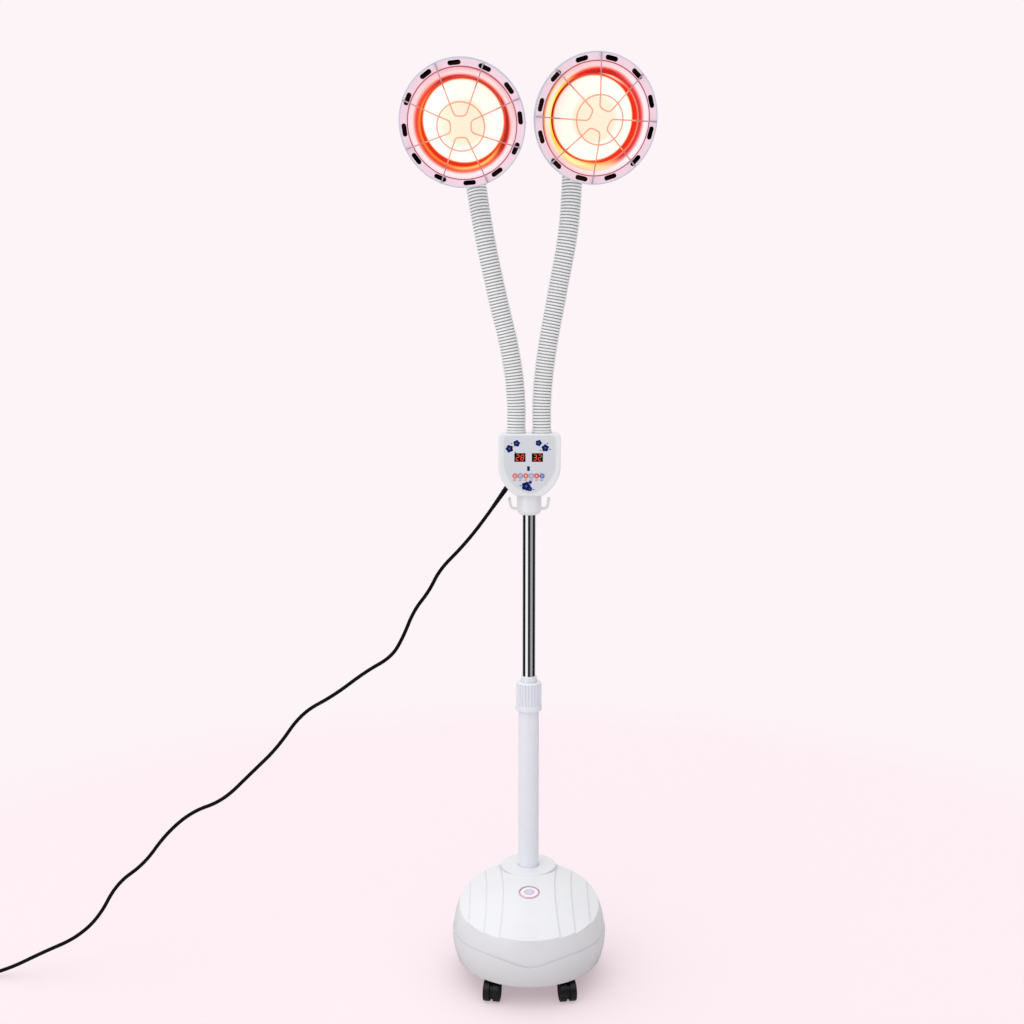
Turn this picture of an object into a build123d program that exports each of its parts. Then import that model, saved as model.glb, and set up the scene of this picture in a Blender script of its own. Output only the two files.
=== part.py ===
"""Infrared heat therapy floor lamp: weighted caster base, sliding mast, control box, two gooseneck heads.

Millimetres. The floor is z = 0, the front of the lamp faces -Y, and the origin is under the
centre of the round base.
"""

from build123d import *
from math import cos, pi, radians, sin, tan
import os

os.makedirs("parts", exist_ok=True)

# ---- fits shared by the whole lamp
running_gap = 0.05  # radial, shaft turning or sliding in its hole
loose_gap = 0.1  # radial, fixed piece in its hole
body_gap = 0.3  # between pieces that move past each other
seat_gap = 0.02  # a turning shoulder over the face that carries it
end_gap = 1.0  # between the end of a stem or screw and the bottom of its hole
overcut = 1.0  # how far a cut starts outside the face that it opens

# ---- base
base_bottom = 36.0
base_side_radius = 118.0  # arc of the bulging side wall
base_side_offset = 5.0  # how far that arc's centre stands from the base's axis
base_side_height = 77.0
base_wall = 3.0
base_top_limit = 170.0
dome_radius = 300.0
dome_span = 119.0  # radius of the dome where it meets the side wall
dome_height = 122.4  # height of that meeting circle's centre
dome_tilt = 7.6
terrace_rise = 1.5
terrace_reaches = ((95.0, 102.0), (68.0, 79.0), (41.0, 58.0))  # half widths at the waist and the back rim
terrace_front_flare = 0.45  # front flare as a share of the back flare
terrace_waist = -12.0
band_stand = 1.6  # how far the lower band stands out of the side wall
wave_heights = (71.0, 79.0, 83.0, 82.0, 80.0)
wave_places = (0.0, 38.0, 75.0, 100.0, 130.0)
rim_fillet = 2.5
mast_back = 69.0  # mast axis behind the base's centre
ring_radius = 46.0
ring_top = 154.5
collar_gap = 0.6  # round the mast where it passes through the cover
badge_radius = 14.5
badge_groove = 2.6
badge_front = 24.5  # badge centre in front of the base's centre
badge_tilt = 7.0
badge_depth = 2.4
badge_rim = 0.6  # thickness of the badge's foot, and the rounding of its edge
plate_thickness = 3.0
weight_radius = 110.0
weight_chamfer = 1.2
weight_thickness = 26.0
plate_screw_radius = 78.0  # circle of the screws that hold plate and weight together

# ---- casters
caster_count = 5
caster_circle = 97.0
caster_first_turn = -54.0
caster_trail = 12.0
caster_trail_turns = (-81.0, 60.0, 90.0, 120.0, -99.0)  # which way each wheel pair trails its stem
wheel_radius = 16.0
wheel_width = 10.6
wheel_round = 1.2
web_radius = 13.0
web_width = 4.0
web_arm = 14.0  # height of the web between axle and stem
web_post = 11.0  # width of the web under the stem
web_reach = 6.0  # how far that post goes under the axle
axle_radius = 2.5
axle_bite = 1.0  # how far the axle goes into each wheel
stem_radius = 4.0
stem_length = 26.0
stem_collar_radius = 7.0
stem_collar_height = 2.2
socket_radius = 8.0
socket_flange = 11.0
socket_flange_thickness = 1.5
socket_length = 29.0
hood_gap = 0.7
hood_thickness = 1.8

# ---- mast
outer_radius = 17.0
outer_wall = 2.0
outer_top = 446.0
inner_radius = 11.0
inner_wall = 1.5
inner_overlap = 184.0  # how far the inner tube stands in the outer one
flange_radius = 34.0
flange_thickness = 6.0
flange_boss = 23.0
flange_boss_taper = 2.0
flange_boss_height = 55.0
flange_screw_circle = 28.5
flange_screw_radius = 2.5
screw_head_radius = 4.5
screw_head_height = 3.0
nut_radius = 21.2
nut_flare = 22.0
nut_drop = 22.0  # nut under and over the outer tube's end
nut_rise = 25.5
nut_skirt = 5.0
nut_taper = 4.0
nut_chamfer = 2.0
nut_roof = 14.0
nut_ribs = 24
rib_depth = 1.2
collet_flange_radius = 16.6
collet_flange_thickness = 3.0
collet_collar_radius = 13.7
collet_chamfer = 1.0
collet_rise = 35.0
collet_sleeve_length = 38.0
bush_length = 24.0
mast_plug_height = 6.0

# ---- control box
box_bottom = 782.5
box_height = 100.0
box_top = box_bottom + box_height
box_half_width = 49.8
box_foot_half_width = 21.0
box_shoulder = box_bottom + 42.0  # where the straight sides end
box_cheek = (41.6, box_bottom + 20.8)  # a point of the rounded lower corner
box_front_y = 41.0
box_split_y = 85.0
box_back_y = 93.0
box_wall = 2.5
box_corner = 7.0
box_shoulder_round = 20.0
box_foot_round = 8.0
box_edge = 2.5
overlay_half_width = 40.8
overlay_top = box_top - 3.5
overlay_corner = 6.3
overlay_shoulder = box_bottom + 53.0
overlay_cheek = (28.6, box_bottom + 22.3)
overlay_foot = box_bottom + 4.5
overlay_thickness = 0.8
display_size = (17.6, 13.6)
display_places = (-15.2, 12.6)
display_height = box_top - 37.7
window_size = (4.2, 7.4)
window_place = -1.5
window_height = box_top - 55.4
key_count = 6
key_pitch = 8.65
key_centre = -1.5
key_radius = 3.7
key_round = 0.6
key_flange_radius = 4.2
key_flange_thickness = 1.0
key_height = box_top - 67.0
key_proud = 1.4
key_travel = 0.8
board_size = (74.0, 66.0)
board_height = box_top - 43.0
board_y = 52.0
board_thickness = 1.6
post_radius = 3.0
post_spacing = (64.0, 50.0)
tube_in_box = 16.0
box_screw_spacing = (72.0, 44.0)
box_screw_height = box_top - 36.0
box_screw_radius = 2.0
box_screw_head = 3.6
box_screw_bite = 6.0  # how far a box screw goes into the front shell

# ---- hook collar
collar_radius = 20.0
collar_bottom = box_bottom - 33.0
collar_fillet = 9.0
hook_rod = 2.3
hook_knob = 2.7
hook_height = collar_bottom + 10.0
hook_reach = 32.0
hook_rise = 16.0
hook_bend = 7.5
hook_depth = 6.0  # how far a hook's root goes into the collar

# ---- goosenecks
neck_radius = 15.75
neck_groove_radius = 14.25
neck_pitch = 9.7
neck_ball = 9.0
neck_bend = 40.0  # largest bend at one station
notch_angle = neck_bend / 2 + 2
neck_flange_radius = 17.5
neck_flange_thickness = 4.0
neck_nipple_radius = 9.0
neck_nipple_length = 9.0
neck_rises = (49.5, 120.5, 219.5, 322.5)  # heights of the bending stations over the box
neck_places = {
    "left": ((-21.4, 69), (-29.5, 68), (-52.0, 66), (-73.5, 63)),
    "right": ((20.2, 69), (26.5, 68), (43.5, 66), (61.0, 63)),
}

# ---- heads
head_places = {"left": (-100.5, -62), "right": (95, -62)}
head_rises = {"left": 456.5, "right": 463.5}  # heights of the heads' centres over the box
head_yaws = {"left": -4.0, "right": 12.0}  # turn away from straight ahead, outward
head_pitches = {"left": 22.0, "right": 14.0}  # tilt down
slot_turns = {"left": -5.0, "right": 11.0}
guard_turns = {"left": 0.0, "right": 22.5}
shade_radius = 92.5
shade_step = 79.0
shade_wall = 1.4
shade_lip = 5.0
shade_depth = 82.0
shade_waist = (74.0, -22.0)
shade_throat = 49.6
shade_throat_hole = 37.0
slot_circle = 85.2
slot_length = 19.0
slot_width = 7.0
slot_count = 12
bulb_radius = 62.5
bulb_crown = -10.0
bulb_face = (37.5, -13.0)  # a point of the glass face
bulb_rim = -20.0
bulb_edge = 3.0
bulb_back = (61.5, -26.0)
bulb_waist = (46.0, -60.0)
bulb_neck_radius = 20.0
bulb_neck_start = -98.0
bulb_neck_end = -112.0
cap_radius = 13.2
cap_end = -138.0
socket_outer = 23.0
socket_front = -112.5
housing_wall = 2.0
housing_front = -2.0
housing_waist = (72.5, -83.0)
housing_shoulder = (40.0, -149.5)  # where the bell turns into its rounded back
housing_round = (34.0, -156.75)
housing_end_radius = 29.1
housing_end = -158.0
boss_radius = 18.5
boss_length = 48.0
neck_join = -118.0  # where along the head's axis its neck aims
neck_join_drop = 74.5  # how far under the head's axis the neck stops
guard_wire = 1.0
guard_rise = 18.0
guard_reach = 91.0
guard_legs = 8
guard_inner = 15.0  # how near the bottom of each loop comes to the middle
guard_bow = 8.0  # half width of a loop's bottom
guard_bend = 7.0
guard_ring = 34.5
guard_ring_bend = 60.0  # of a leg where it passes under the ring

# ---- cord
cord_radius = 3.0
cord_points = [
    (-58, 58, 764), (-80, 56, 733), (-110, 53, 697), (-145, 50, 662), (-162, 48, 627), (-187, 45, 596),
    (-205, 43, 551), (-224, 42, 519), (-266, 38, 496), (-318, 32, 457), (-370, 27, 430), (-409, 23, 373),
    (-452, 19, 332), (-499, 14, 286), (-549, 9, 270), (-592, 4, 233), (-627, 1, 184), (-672, -4, 153),
    (-702, -8, 96), (-741, -12, 62), (-792, -16, 41), (-846, -20, 15), (-890, -22, 3.2), (-921, -22, 3.1),
]  # fmt: skip
cord_run_share = 0.45
relief_length = 30.0
gland_length = 14.0  # straight part of the gland, through the box's wall
relief_end_radius = 3.5
relief_root_radius = 4.2
coil_radius = 34.0
coil_half_section = 6.2
coil_lead = 38.0  # straight lead from the coil's middle to the hanging cord
coil_round = 2.5
plug_relief_start = 26.0
plug_relief_length = 24.0
plug_relief_end = 3.9
plug_relief_root = 6.0
plug_corner = 5.0
plug_size = (35.0, 36.0, 13.7)
plug_pin_radius = 2.0
plug_pin_length = 19.0
plug_pin_pitch = 18.6

relief_tip = Vector(*cord_points[0])
relief_plane = Plane(origin=relief_tip, z_dir=relief_tip - Vector(*cord_points[1]))
gland_plane = relief_plane.offset(relief_length)

mast_axis = Axis((0, mast_back, 0), (0, 0, 1))
mast_profile = Plane(origin=(0, mast_back, 0), x_dir=(1, 0, 0), z_dir=(0, -1, 0))
dome_centre_drop = (dome_radius**2 - dome_span**2) ** 0.5
dome_centre = (
    0,
    dome_centre_drop * sin(radians(dome_tilt)),
    dome_height - dome_centre_drop * cos(radians(dome_tilt)),
)


def keep(piece, name):
    """Labels a finished piece and writes it."""
    piece.part.label = name
    export_step(piece.part, f"parts/{name}.step")


def dome_z(y, rise=0.0):
    """Height of the dome, raised by rise, on the lamp's middle line."""
    return dome_centre[2] + ((dome_radius + rise) ** 2 - (y - dome_centre[1]) ** 2) ** 0.5


def side_x(z, skin=0.0):
    """Radius of the side wall at a height, moved outward by skin."""
    return base_side_offset + ((base_side_radius + skin) ** 2 - (z - base_side_height) ** 2) ** 0.5


def base_blank(skin, bottom, rise=0.0):
    """Solid of the base's outer form, its side moved outward by skin and its dome up by rise."""
    with BuildPart() as blank:
        with BuildSketch(Plane.XZ):
            with BuildLine():
                ThreePointArc(
                    (side_x(bottom, skin), bottom),
                    (side_x(base_side_height, skin), base_side_height),
                    (side_x(base_top_limit, skin), base_top_limit),
                )
                Polyline(
                    (side_x(base_top_limit, skin), base_top_limit),
                    (0, base_top_limit),
                    (0, bottom),
                    (side_x(bottom, skin), bottom),
                )
            make_face()
        revolve(axis=Axis.Z)
        with Locations(dome_centre):
            Sphere(dome_radius + rise, mode=Mode.INTERSECT)
    return blank.part


# ---- base cover
terraces = []
for step, (waist, back) in enumerate(terrace_reaches, start=1):
    front_half = waist + (back - waist) * terrace_front_flare
    back_y, front_y = side_x(base_side_height), -side_x(base_side_height)
    with BuildPart() as terrace:
        with BuildSketch(Plane.XY.offset(base_side_height)):
            with BuildLine():
                ThreePointArc((front_half, front_y), (waist, terrace_waist), (back, back_y))
                Line((back, back_y), (-back, back_y))
                ThreePointArc((-back, back_y), (-waist, terrace_waist), (-front_half, front_y))
                Line((-front_half, front_y), (front_half, front_y))
            make_face()
        extrude(amount=base_top_limit - base_side_height)
        add(base_blank(0, base_bottom, terrace_rise * step), mode=Mode.INTERSECT)
    terraces.append(terrace.part)

wave = list(zip(wave_places, wave_heights))
wave_line = [(-place, height) for place, height in reversed(wave[1:])] + wave
with BuildPart() as band:
    add(base_blank(band_stand, base_bottom))
    with BuildSketch(Plane.XZ.offset(-base_top_limit)):
        with BuildLine():
            Spline(*wave_line)
            Polyline(
                wave_line[-1],
                (wave_line[-1][0], base_bottom),
                (wave_line[0][0], base_bottom),
                wave_line[0],
            )
        make_face()
    extrude(amount=2 * base_top_limit, mode=Mode.INTERSECT)

badge_lean = Vector(0, -sin(radians(badge_tilt)), cos(radians(badge_tilt)))
badge_centre = (0, -badge_front, dome_z(-badge_front, terrace_rise * len(terrace_reaches)))
badge_plane = Plane(origin=badge_centre, x_dir=(1, 0, 0), z_dir=badge_lean)
badge_groove_radius = badge_radius + badge_groove

with BuildPart() as ring:
    with BuildSketch(Plane.XY.offset(base_side_height)):
        with Locations((0, mast_back)):
            Circle(ring_radius)
    extrude(amount=ring_top - base_side_height)
    fillet(ring.edges().group_by(Axis.Z)[-1], rim_fillet)

with BuildPart() as base_cover:
    add(base_blank(0, base_bottom))
    for terrace_solid in terraces:
        add(terrace_solid)
    add(band.part)
    add(ring.part)
    add(base_blank(-base_wall, base_bottom - overcut, -base_wall), mode=Mode.SUBTRACT)
    with BuildSketch(Plane.XY.offset(ring_top)):
        with Locations((0, mast_back)):
            Circle(outer_radius + collar_gap)
    extrude(amount=-(ring_top - base_side_height), mode=Mode.SUBTRACT)
    with BuildSketch(badge_plane.offset(badge_groove)):
        Circle(badge_groove_radius)
    extrude(amount=-(badge_depth + badge_groove), mode=Mode.SUBTRACT)
keep(base_cover, "base_cover")

with BuildPart() as badge:
    with BuildSketch(badge_plane.offset(-badge_depth)):
        Circle(badge_groove_radius - loose_gap)
    extrude(amount=badge_rim)
    with BuildSketch(badge_plane.offset(-badge_depth)):
        Circle(badge_radius)
    extrude(amount=badge_depth)
    fillet(badge.edges().filter_by(GeomType.CIRCLE).sort_by(Axis.Z)[-1], badge_rim)
keep(badge, "badge")

# ---- base plate, weight, caster sockets
caster_ring = PolarLocations(caster_circle, caster_count, start_angle=caster_first_turn)
plate_radius = side_x(base_bottom, -base_wall) - loose_gap
plate_top = base_bottom + plate_thickness
weight_bottom = plate_top
weight_top = weight_bottom + weight_thickness
plate_screw_circle = PolarLocations(plate_screw_radius, caster_count, start_angle=-90)

with BuildPart() as base_plate:
    with BuildSketch(Plane.XY.offset(base_bottom)):
        Circle(plate_radius)
        with caster_ring:
            Circle(socket_radius + loose_gap, mode=Mode.SUBTRACT)
        with plate_screw_circle:
            Circle(flange_screw_radius + loose_gap, mode=Mode.SUBTRACT)
    extrude(amount=plate_thickness)
keep(base_plate, "base_plate")

with BuildPart() as base_weight:
    with BuildSketch(Plane.XY.offset(weight_bottom)):
        Circle(weight_radius)
        with caster_ring:
            Circle(socket_radius + loose_gap, mode=Mode.SUBTRACT)
    extrude(amount=weight_thickness)
    with BuildSketch(Plane.XY.offset(weight_bottom)):
        with plate_screw_circle:
            Circle(flange_screw_radius + loose_gap)
    extrude(amount=weight_thickness / 2, mode=Mode.SUBTRACT)
    with BuildSketch(Plane.XY.offset(weight_top)):
        with Locations((0, mast_back)):
            with PolarLocations(flange_screw_circle, 4, start_angle=45):
                Circle(flange_screw_radius + loose_gap)
    extrude(amount=-weight_thickness / 2, mode=Mode.SUBTRACT)
    chamfer(base_weight.edges().filter_by(GeomType.CIRCLE).sort_by(SortBy.LENGTH)[-2:], weight_chamfer)
keep(base_weight, "base_weight")

with BuildPart() as caster_sockets:
    with BuildSketch(Plane.XY.offset(base_bottom - socket_flange_thickness)):
        with caster_ring:
            Circle(socket_flange)
    extrude(amount=socket_flange_thickness)
    with BuildSketch(Plane.XY.offset(base_bottom)):
        with caster_ring:
            Circle(socket_radius)
    extrude(amount=socket_length)
    with BuildSketch(Plane.XY.offset(base_bottom - socket_flange_thickness)):
        with caster_ring:
            Circle(stem_radius + running_gap)
    extrude(amount=stem_length + seat_gap, mode=Mode.SUBTRACT)
keep(caster_sockets, "caster_sockets")

# ---- casters: hood on a stem, two wheels on an axle
hood_radius = wheel_radius + hood_gap
hood_outer = hood_radius + hood_thickness
wheel_half_gap = web_width / 2 + body_gap
caster_width = 2 * (wheel_half_gap + wheel_width)
stem_foot = base_bottom - socket_flange_thickness - seat_gap
for number, trail_turn in enumerate(caster_trail_turns):
    stem_turn = radians(caster_first_turn + 360 / caster_count * number)
    stem_place = (caster_circle * cos(stem_turn), caster_circle * sin(stem_turn))
    trail = Vector(cos(radians(trail_turn)), sin(radians(trail_turn)), 0)
    hub = Vector(*stem_place) + trail * caster_trail + Vector(0, 0, wheel_radius)
    side_plane = Plane(origin=hub, x_dir=trail, z_dir=trail.cross(Vector(0, 0, 1)))
    post_top = stem_foot - wheel_radius
    with BuildPart() as caster_fork:
        with BuildSketch(side_plane):
            Circle(web_radius)
            Rectangle(caster_trail + stem_radius, web_arm, align=(Align.MAX, Align.CENTER))
            with Locations((-caster_trail, post_top)):
                Rectangle(web_post, post_top + web_reach, align=(Align.CENTER, Align.MAX))
            Circle(axle_radius + running_gap, mode=Mode.SUBTRACT)
        extrude(amount=web_width / 2, both=True)
        with BuildSketch(side_plane):
            Circle(hood_outer)
            Circle(hood_radius, mode=Mode.SUBTRACT)
            Rectangle(hood_outer, hood_outer, align=(Align.MAX, Align.MIN), mode=Mode.INTERSECT)
        extrude(amount=caster_width / 2, both=True)
        with BuildSketch(side_plane):
            Circle(hood_radius + hood_thickness / 2)
            Circle(web_radius - web_width / 4, mode=Mode.SUBTRACT)
            Rectangle(hood_outer, hood_outer, align=(Align.MAX, Align.MIN), mode=Mode.INTERSECT)
        extrude(amount=web_width / 2, both=True)
        with BuildSketch(Plane.XY.offset(stem_foot)):
            with Locations(stem_place):
                Circle(stem_radius)
        extrude(amount=stem_length - end_gap)
        with BuildSketch(Plane.XY.offset(stem_foot)):
            with Locations(stem_place):
                Circle(stem_collar_radius)
        extrude(amount=-stem_collar_height)
    keep(caster_fork, f"caster_fork_{number + 1}")
    with BuildPart() as caster_wheels:
        for side in (-1, 1):
            with BuildSketch(side_plane.offset(side * wheel_half_gap)):
                Circle(wheel_radius)
            extrude(amount=side * wheel_width)
        with BuildSketch(side_plane):
            Circle(axle_radius)
        extrude(amount=wheel_half_gap + axle_bite, both=True)
        fillet(caster_wheels.edges().filter_by(GeomType.CIRCLE).group_by(SortBy.LENGTH)[-1], wheel_round)
    keep(caster_wheels, f"caster_wheels_{number + 1}")

# ---- mast: flange, outer tube, collet, nut, inner tube, bush
flange_top = weight_top + flange_thickness
tube_foot = flange_top
with BuildPart() as mast_flange:
    with BuildSketch(mast_profile):
        with BuildLine():
            Polyline(
                (0, weight_top),
                (flange_radius, weight_top),
                (flange_radius, flange_top),
                (flange_boss, flange_top),
                (flange_boss - flange_boss_taper, weight_top + flange_boss_height),
                (outer_radius + loose_gap, weight_top + flange_boss_height),
                (outer_radius + loose_gap, tube_foot),
                (0, tube_foot),
                close=True,
            )
        make_face()
    revolve(axis=mast_axis)
    with BuildSketch(Plane.XY.offset(weight_top)):
        with Locations((0, mast_back)):
            with PolarLocations(flange_screw_circle, 4, start_angle=45):
                Circle(flange_screw_radius + loose_gap)
    extrude(amount=flange_thickness, mode=Mode.SUBTRACT)
keep(mast_flange, "mast_flange")

with BuildPart() as base_fasteners:
    with BuildSketch(Plane.XY.offset(flange_top)):
        with Locations((0, mast_back)):
            with PolarLocations(flange_screw_circle, 4, start_angle=45):
                Circle(screw_head_radius)
    extrude(amount=screw_head_height)
    with BuildSketch(Plane.XY.offset(flange_top)):
        with Locations((0, mast_back)):
            with PolarLocations(flange_screw_circle, 4, start_angle=45):
                Circle(flange_screw_radius)
    extrude(amount=-(flange_thickness + weight_thickness / 2 - end_gap))
    with BuildSketch(Plane.XY.offset(base_bottom)):
        with plate_screw_circle:
            Circle(screw_head_radius)
    extrude(amount=-screw_head_height / 2)
    with BuildSketch(Plane.XY.offset(base_bottom)):
        with plate_screw_circle:
            Circle(flange_screw_radius)
    extrude(amount=plate_thickness + weight_thickness / 2 - end_gap)
keep(base_fasteners, "base_fasteners")

with BuildPart() as outer_tube:
    with BuildSketch(Plane.XY.offset(tube_foot)):
        with Locations((0, mast_back)):
            Circle(outer_radius)
            Circle(outer_radius - outer_wall, mode=Mode.SUBTRACT)
    extrude(amount=outer_top - tube_foot)
keep(outer_tube, "outer_tube")

outer_bore = outer_radius - outer_wall
collet_bore = inner_radius + running_gap
collet_shoulder = outer_top + seat_gap
collet_ledge = collet_shoulder + collet_flange_thickness
collet_top = outer_top + collet_rise
with BuildPart() as collet:
    with BuildSketch(mast_profile):
        with BuildLine():
            Polyline(
                (collet_bore, collet_shoulder - collet_sleeve_length),
                (outer_bore - running_gap, collet_shoulder - collet_sleeve_length),
                (outer_bore - running_gap, collet_shoulder),
                (collet_flange_radius, collet_shoulder),
                (collet_flange_radius, collet_ledge),
                (collet_collar_radius, collet_ledge),
                (collet_collar_radius, collet_top - collet_chamfer),
                (collet_collar_radius - collet_chamfer, collet_top),
                (collet_bore, collet_top),
                close=True,
            )
        make_face()
    revolve(axis=mast_axis)
keep(collet, "collet")

nut_bore = outer_radius + running_gap
nut_ledge = collet_ledge + body_gap
nut_bottom = outer_top - nut_drop
nut_top = outer_top + nut_rise
rib_bottom = nut_bottom + nut_skirt + nut_taper
with BuildPart() as clamp_nut:
    with BuildSketch(mast_profile):
        with BuildLine():
            Polyline(
                (nut_bore, nut_bottom),
                (nut_flare, nut_bottom),
                (nut_flare, nut_bottom + nut_skirt),
                (nut_radius, rib_bottom),
                (nut_radius, nut_top - nut_chamfer),
                (nut_radius - nut_chamfer, nut_top),
                (nut_roof, nut_top),
                (nut_roof, nut_ledge),
                (nut_bore, nut_ledge),
                close=True,
            )
        make_face()
    revolve(axis=mast_axis)
    with BuildSketch(Plane.XY.offset(rib_bottom)):
        with Locations((0, mast_back)):
            with PolarLocations(nut_radius, nut_ribs):
                Rectangle(2 * rib_depth, 2 * rib_depth, rotation=45)
    extrude(amount=nut_top - nut_chamfer - rib_bottom, mode=Mode.SUBTRACT)
keep(clamp_nut, "clamp_nut")

inner_bottom = outer_top - inner_overlap
inner_top = box_bottom + tube_in_box
with BuildPart() as inner_tube:
    with BuildSketch(Plane.XY.offset(inner_bottom)):
        with Locations((0, mast_back)):
            Circle(inner_radius)
            Circle(inner_radius - inner_wall, mode=Mode.SUBTRACT)
    extrude(amount=inner_top - inner_bottom)
keep(inner_tube, "inner_tube")

with BuildPart() as guide_bush:
    with BuildSketch(mast_profile):
        with BuildLine():
            Polyline(
                (0, inner_bottom - mast_plug_height),
                (outer_bore - running_gap, inner_bottom - mast_plug_height),
                (outer_bore - running_gap, inner_bottom + bush_length),
                (inner_radius + loose_gap, inner_bottom + bush_length),
                (inner_radius + loose_gap, inner_bottom),
                (0, inner_bottom),
                close=True,
            )
        make_face()
    revolve(axis=mast_axis)
keep(guide_bush, "guide_bush")

# ---- hook collar and its two cord hooks
with BuildPart() as hook_collar:
    with BuildSketch(Plane.XY.offset(collar_bottom)):
        with Locations((0, mast_back)):
            Circle(collar_radius)
    extrude(amount=box_bottom - collar_bottom)
    fillet(hook_collar.edges().group_by(Axis.Z)[0], collar_fillet)
    with BuildSketch(Plane.XY.offset(collar_bottom)):
        with Locations((0, mast_back)):
            Circle(inner_radius + loose_gap)
    extrude(amount=box_bottom - collar_bottom, mode=Mode.SUBTRACT)
    for side in (-1, 1):
        root = Plane(origin=(side * collar_radius, mast_back, hook_height), z_dir=(-side, 0, 0))
        with BuildSketch(root):
            Circle(hook_rod + loose_gap)
        extrude(amount=hook_depth, mode=Mode.SUBTRACT)
keep(hook_collar, "hook_collar")

with BuildPart() as cord_hooks:
    for side in (-1, 1):
        hook_root = (side * (collar_radius - hook_depth), mast_back, hook_height)
        with BuildLine() as hook_path:
            FilletPolyline(
                hook_root,
                (side * (hook_reach - hook_rod), mast_back, hook_height),
                (side * hook_reach, mast_back, hook_height + hook_rise),
                radius=hook_bend,
            )
        with BuildSketch(Plane(origin=hook_root, z_dir=(side, 0, 0))):
            Circle(hook_rod)
        sweep(path=hook_path.line)
        with Locations((side * hook_reach, mast_back, hook_height + hook_rise)):
            Sphere(hook_knob)
keep(cord_hooks, "cord_hooks")

# ---- control box
with BuildSketch() as shield:
    with BuildLine():
        ThreePointArc((box_half_width, box_shoulder), box_cheek, (box_foot_half_width, box_bottom))
        Line((box_foot_half_width, box_bottom), (-box_foot_half_width, box_bottom))
        ThreePointArc(
            (-box_foot_half_width, box_bottom),
            (-box_cheek[0], box_cheek[1]),
            (-box_half_width, box_shoulder),
        )
        FilletPolyline(
            (-box_half_width, box_shoulder),
            (-box_half_width, box_top),
            (box_half_width, box_top),
            (box_half_width, box_shoulder),
            radius=box_corner,
        )
    make_face()
    fillet(shield.vertices().group_by(Axis.Y)[1], box_shoulder_round)
    fillet(shield.vertices().group_by(Axis.Y)[0], box_foot_round)

key_start = key_centre - key_pitch * (key_count - 1) / 2
key_places = [(key_start + key_pitch * number, key_height) for number in range(key_count)]
display_hole = tuple(side + 2 * loose_gap for side in display_size)
window_hole = tuple(side + 2 * loose_gap for side in window_size)
front_face = Plane(origin=(0, box_front_y, 0), x_dir=(1, 0, 0), z_dir=(0, -1, 0))
split_face = front_face.offset(box_front_y - box_split_y)
back_face = front_face.offset(box_front_y - box_back_y)
panel_face = front_face.offset(overlay_thickness)
neck_feet = [places[0] for places in neck_places.values()]
key_hole = key_radius + body_gap
inside_face = front_face.offset(-box_wall)

with BuildPart() as box_front:
    with BuildSketch(front_face):
        add(shield.sketch)
    extrude(amount=-(box_split_y - box_front_y))
    fillet(box_front.faces().sort_by(Axis.Y)[0].edges(), box_edge)
    with BuildSketch(inside_face):
        add(shield.sketch)
        offset(amount=-box_wall, mode=Mode.REPLACE)
    extrude(amount=-(box_split_y - box_front_y), mode=Mode.SUBTRACT)
    with BuildSketch(inside_face):
        with Locations((0, board_height)):
            with GridLocations(*post_spacing, 2, 2):
                Circle(post_radius)
    extrude(amount=-(board_y - box_front_y - box_wall))
    with BuildSketch(front_face):
        for place in display_places:
            with Locations((place, display_height)):
                Rectangle(*display_hole)
        with Locations((window_place, window_height)):
            Rectangle(*window_hole)
        with Locations(*key_places):
            Circle(key_hole)
    extrude(amount=-box_wall, mode=Mode.SUBTRACT)
    with BuildSketch(Plane.XY.offset(box_top)):
        with Locations(*neck_feet):
            Circle(neck_nipple_radius + loose_gap)
    extrude(amount=-2 * box_wall, mode=Mode.SUBTRACT)
    with BuildSketch(Plane.XY.offset(box_bottom)):
        with Locations((0, mast_back)):
            Circle(inner_radius + loose_gap)
    extrude(amount=2 * box_wall, mode=Mode.SUBTRACT)
    with BuildSketch(gland_plane):
        Circle(relief_root_radius + loose_gap)
    extrude(amount=gland_length + overcut, both=True, mode=Mode.SUBTRACT)
keep(box_front, "box_front")

with BuildPart() as box_rear:
    with BuildSketch(split_face):
        add(shield.sketch)
    extrude(amount=-(box_back_y - box_split_y))
    fillet(box_rear.faces().sort_by(Axis.Y)[-1].edges(), box_edge)
    with BuildSketch(split_face):
        add(shield.sketch)
        offset(amount=-box_wall, mode=Mode.REPLACE)
    extrude(amount=-(box_back_y - box_split_y - box_wall), mode=Mode.SUBTRACT)
    with BuildSketch(back_face):
        with Locations((0, box_screw_height)):
            with GridLocations(*box_screw_spacing, 2, 2):
                Circle(box_screw_radius + loose_gap)
    extrude(amount=2 * box_wall, mode=Mode.SUBTRACT)
keep(box_rear, "box_rear")

with BuildPart() as box_screws:
    with BuildSketch(back_face):
        with Locations((0, box_screw_height)):
            with GridLocations(*box_screw_spacing, 2, 2):
                Circle(box_screw_head)
    extrude(amount=-screw_head_height / 2)
    with BuildSketch(back_face):
        with Locations((0, box_screw_height)):
            with GridLocations(*box_screw_spacing, 2, 2):
                Circle(box_screw_radius)
    extrude(amount=box_back_y - box_split_y + box_screw_bite)
keep(box_screws, "box_screws")

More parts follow.
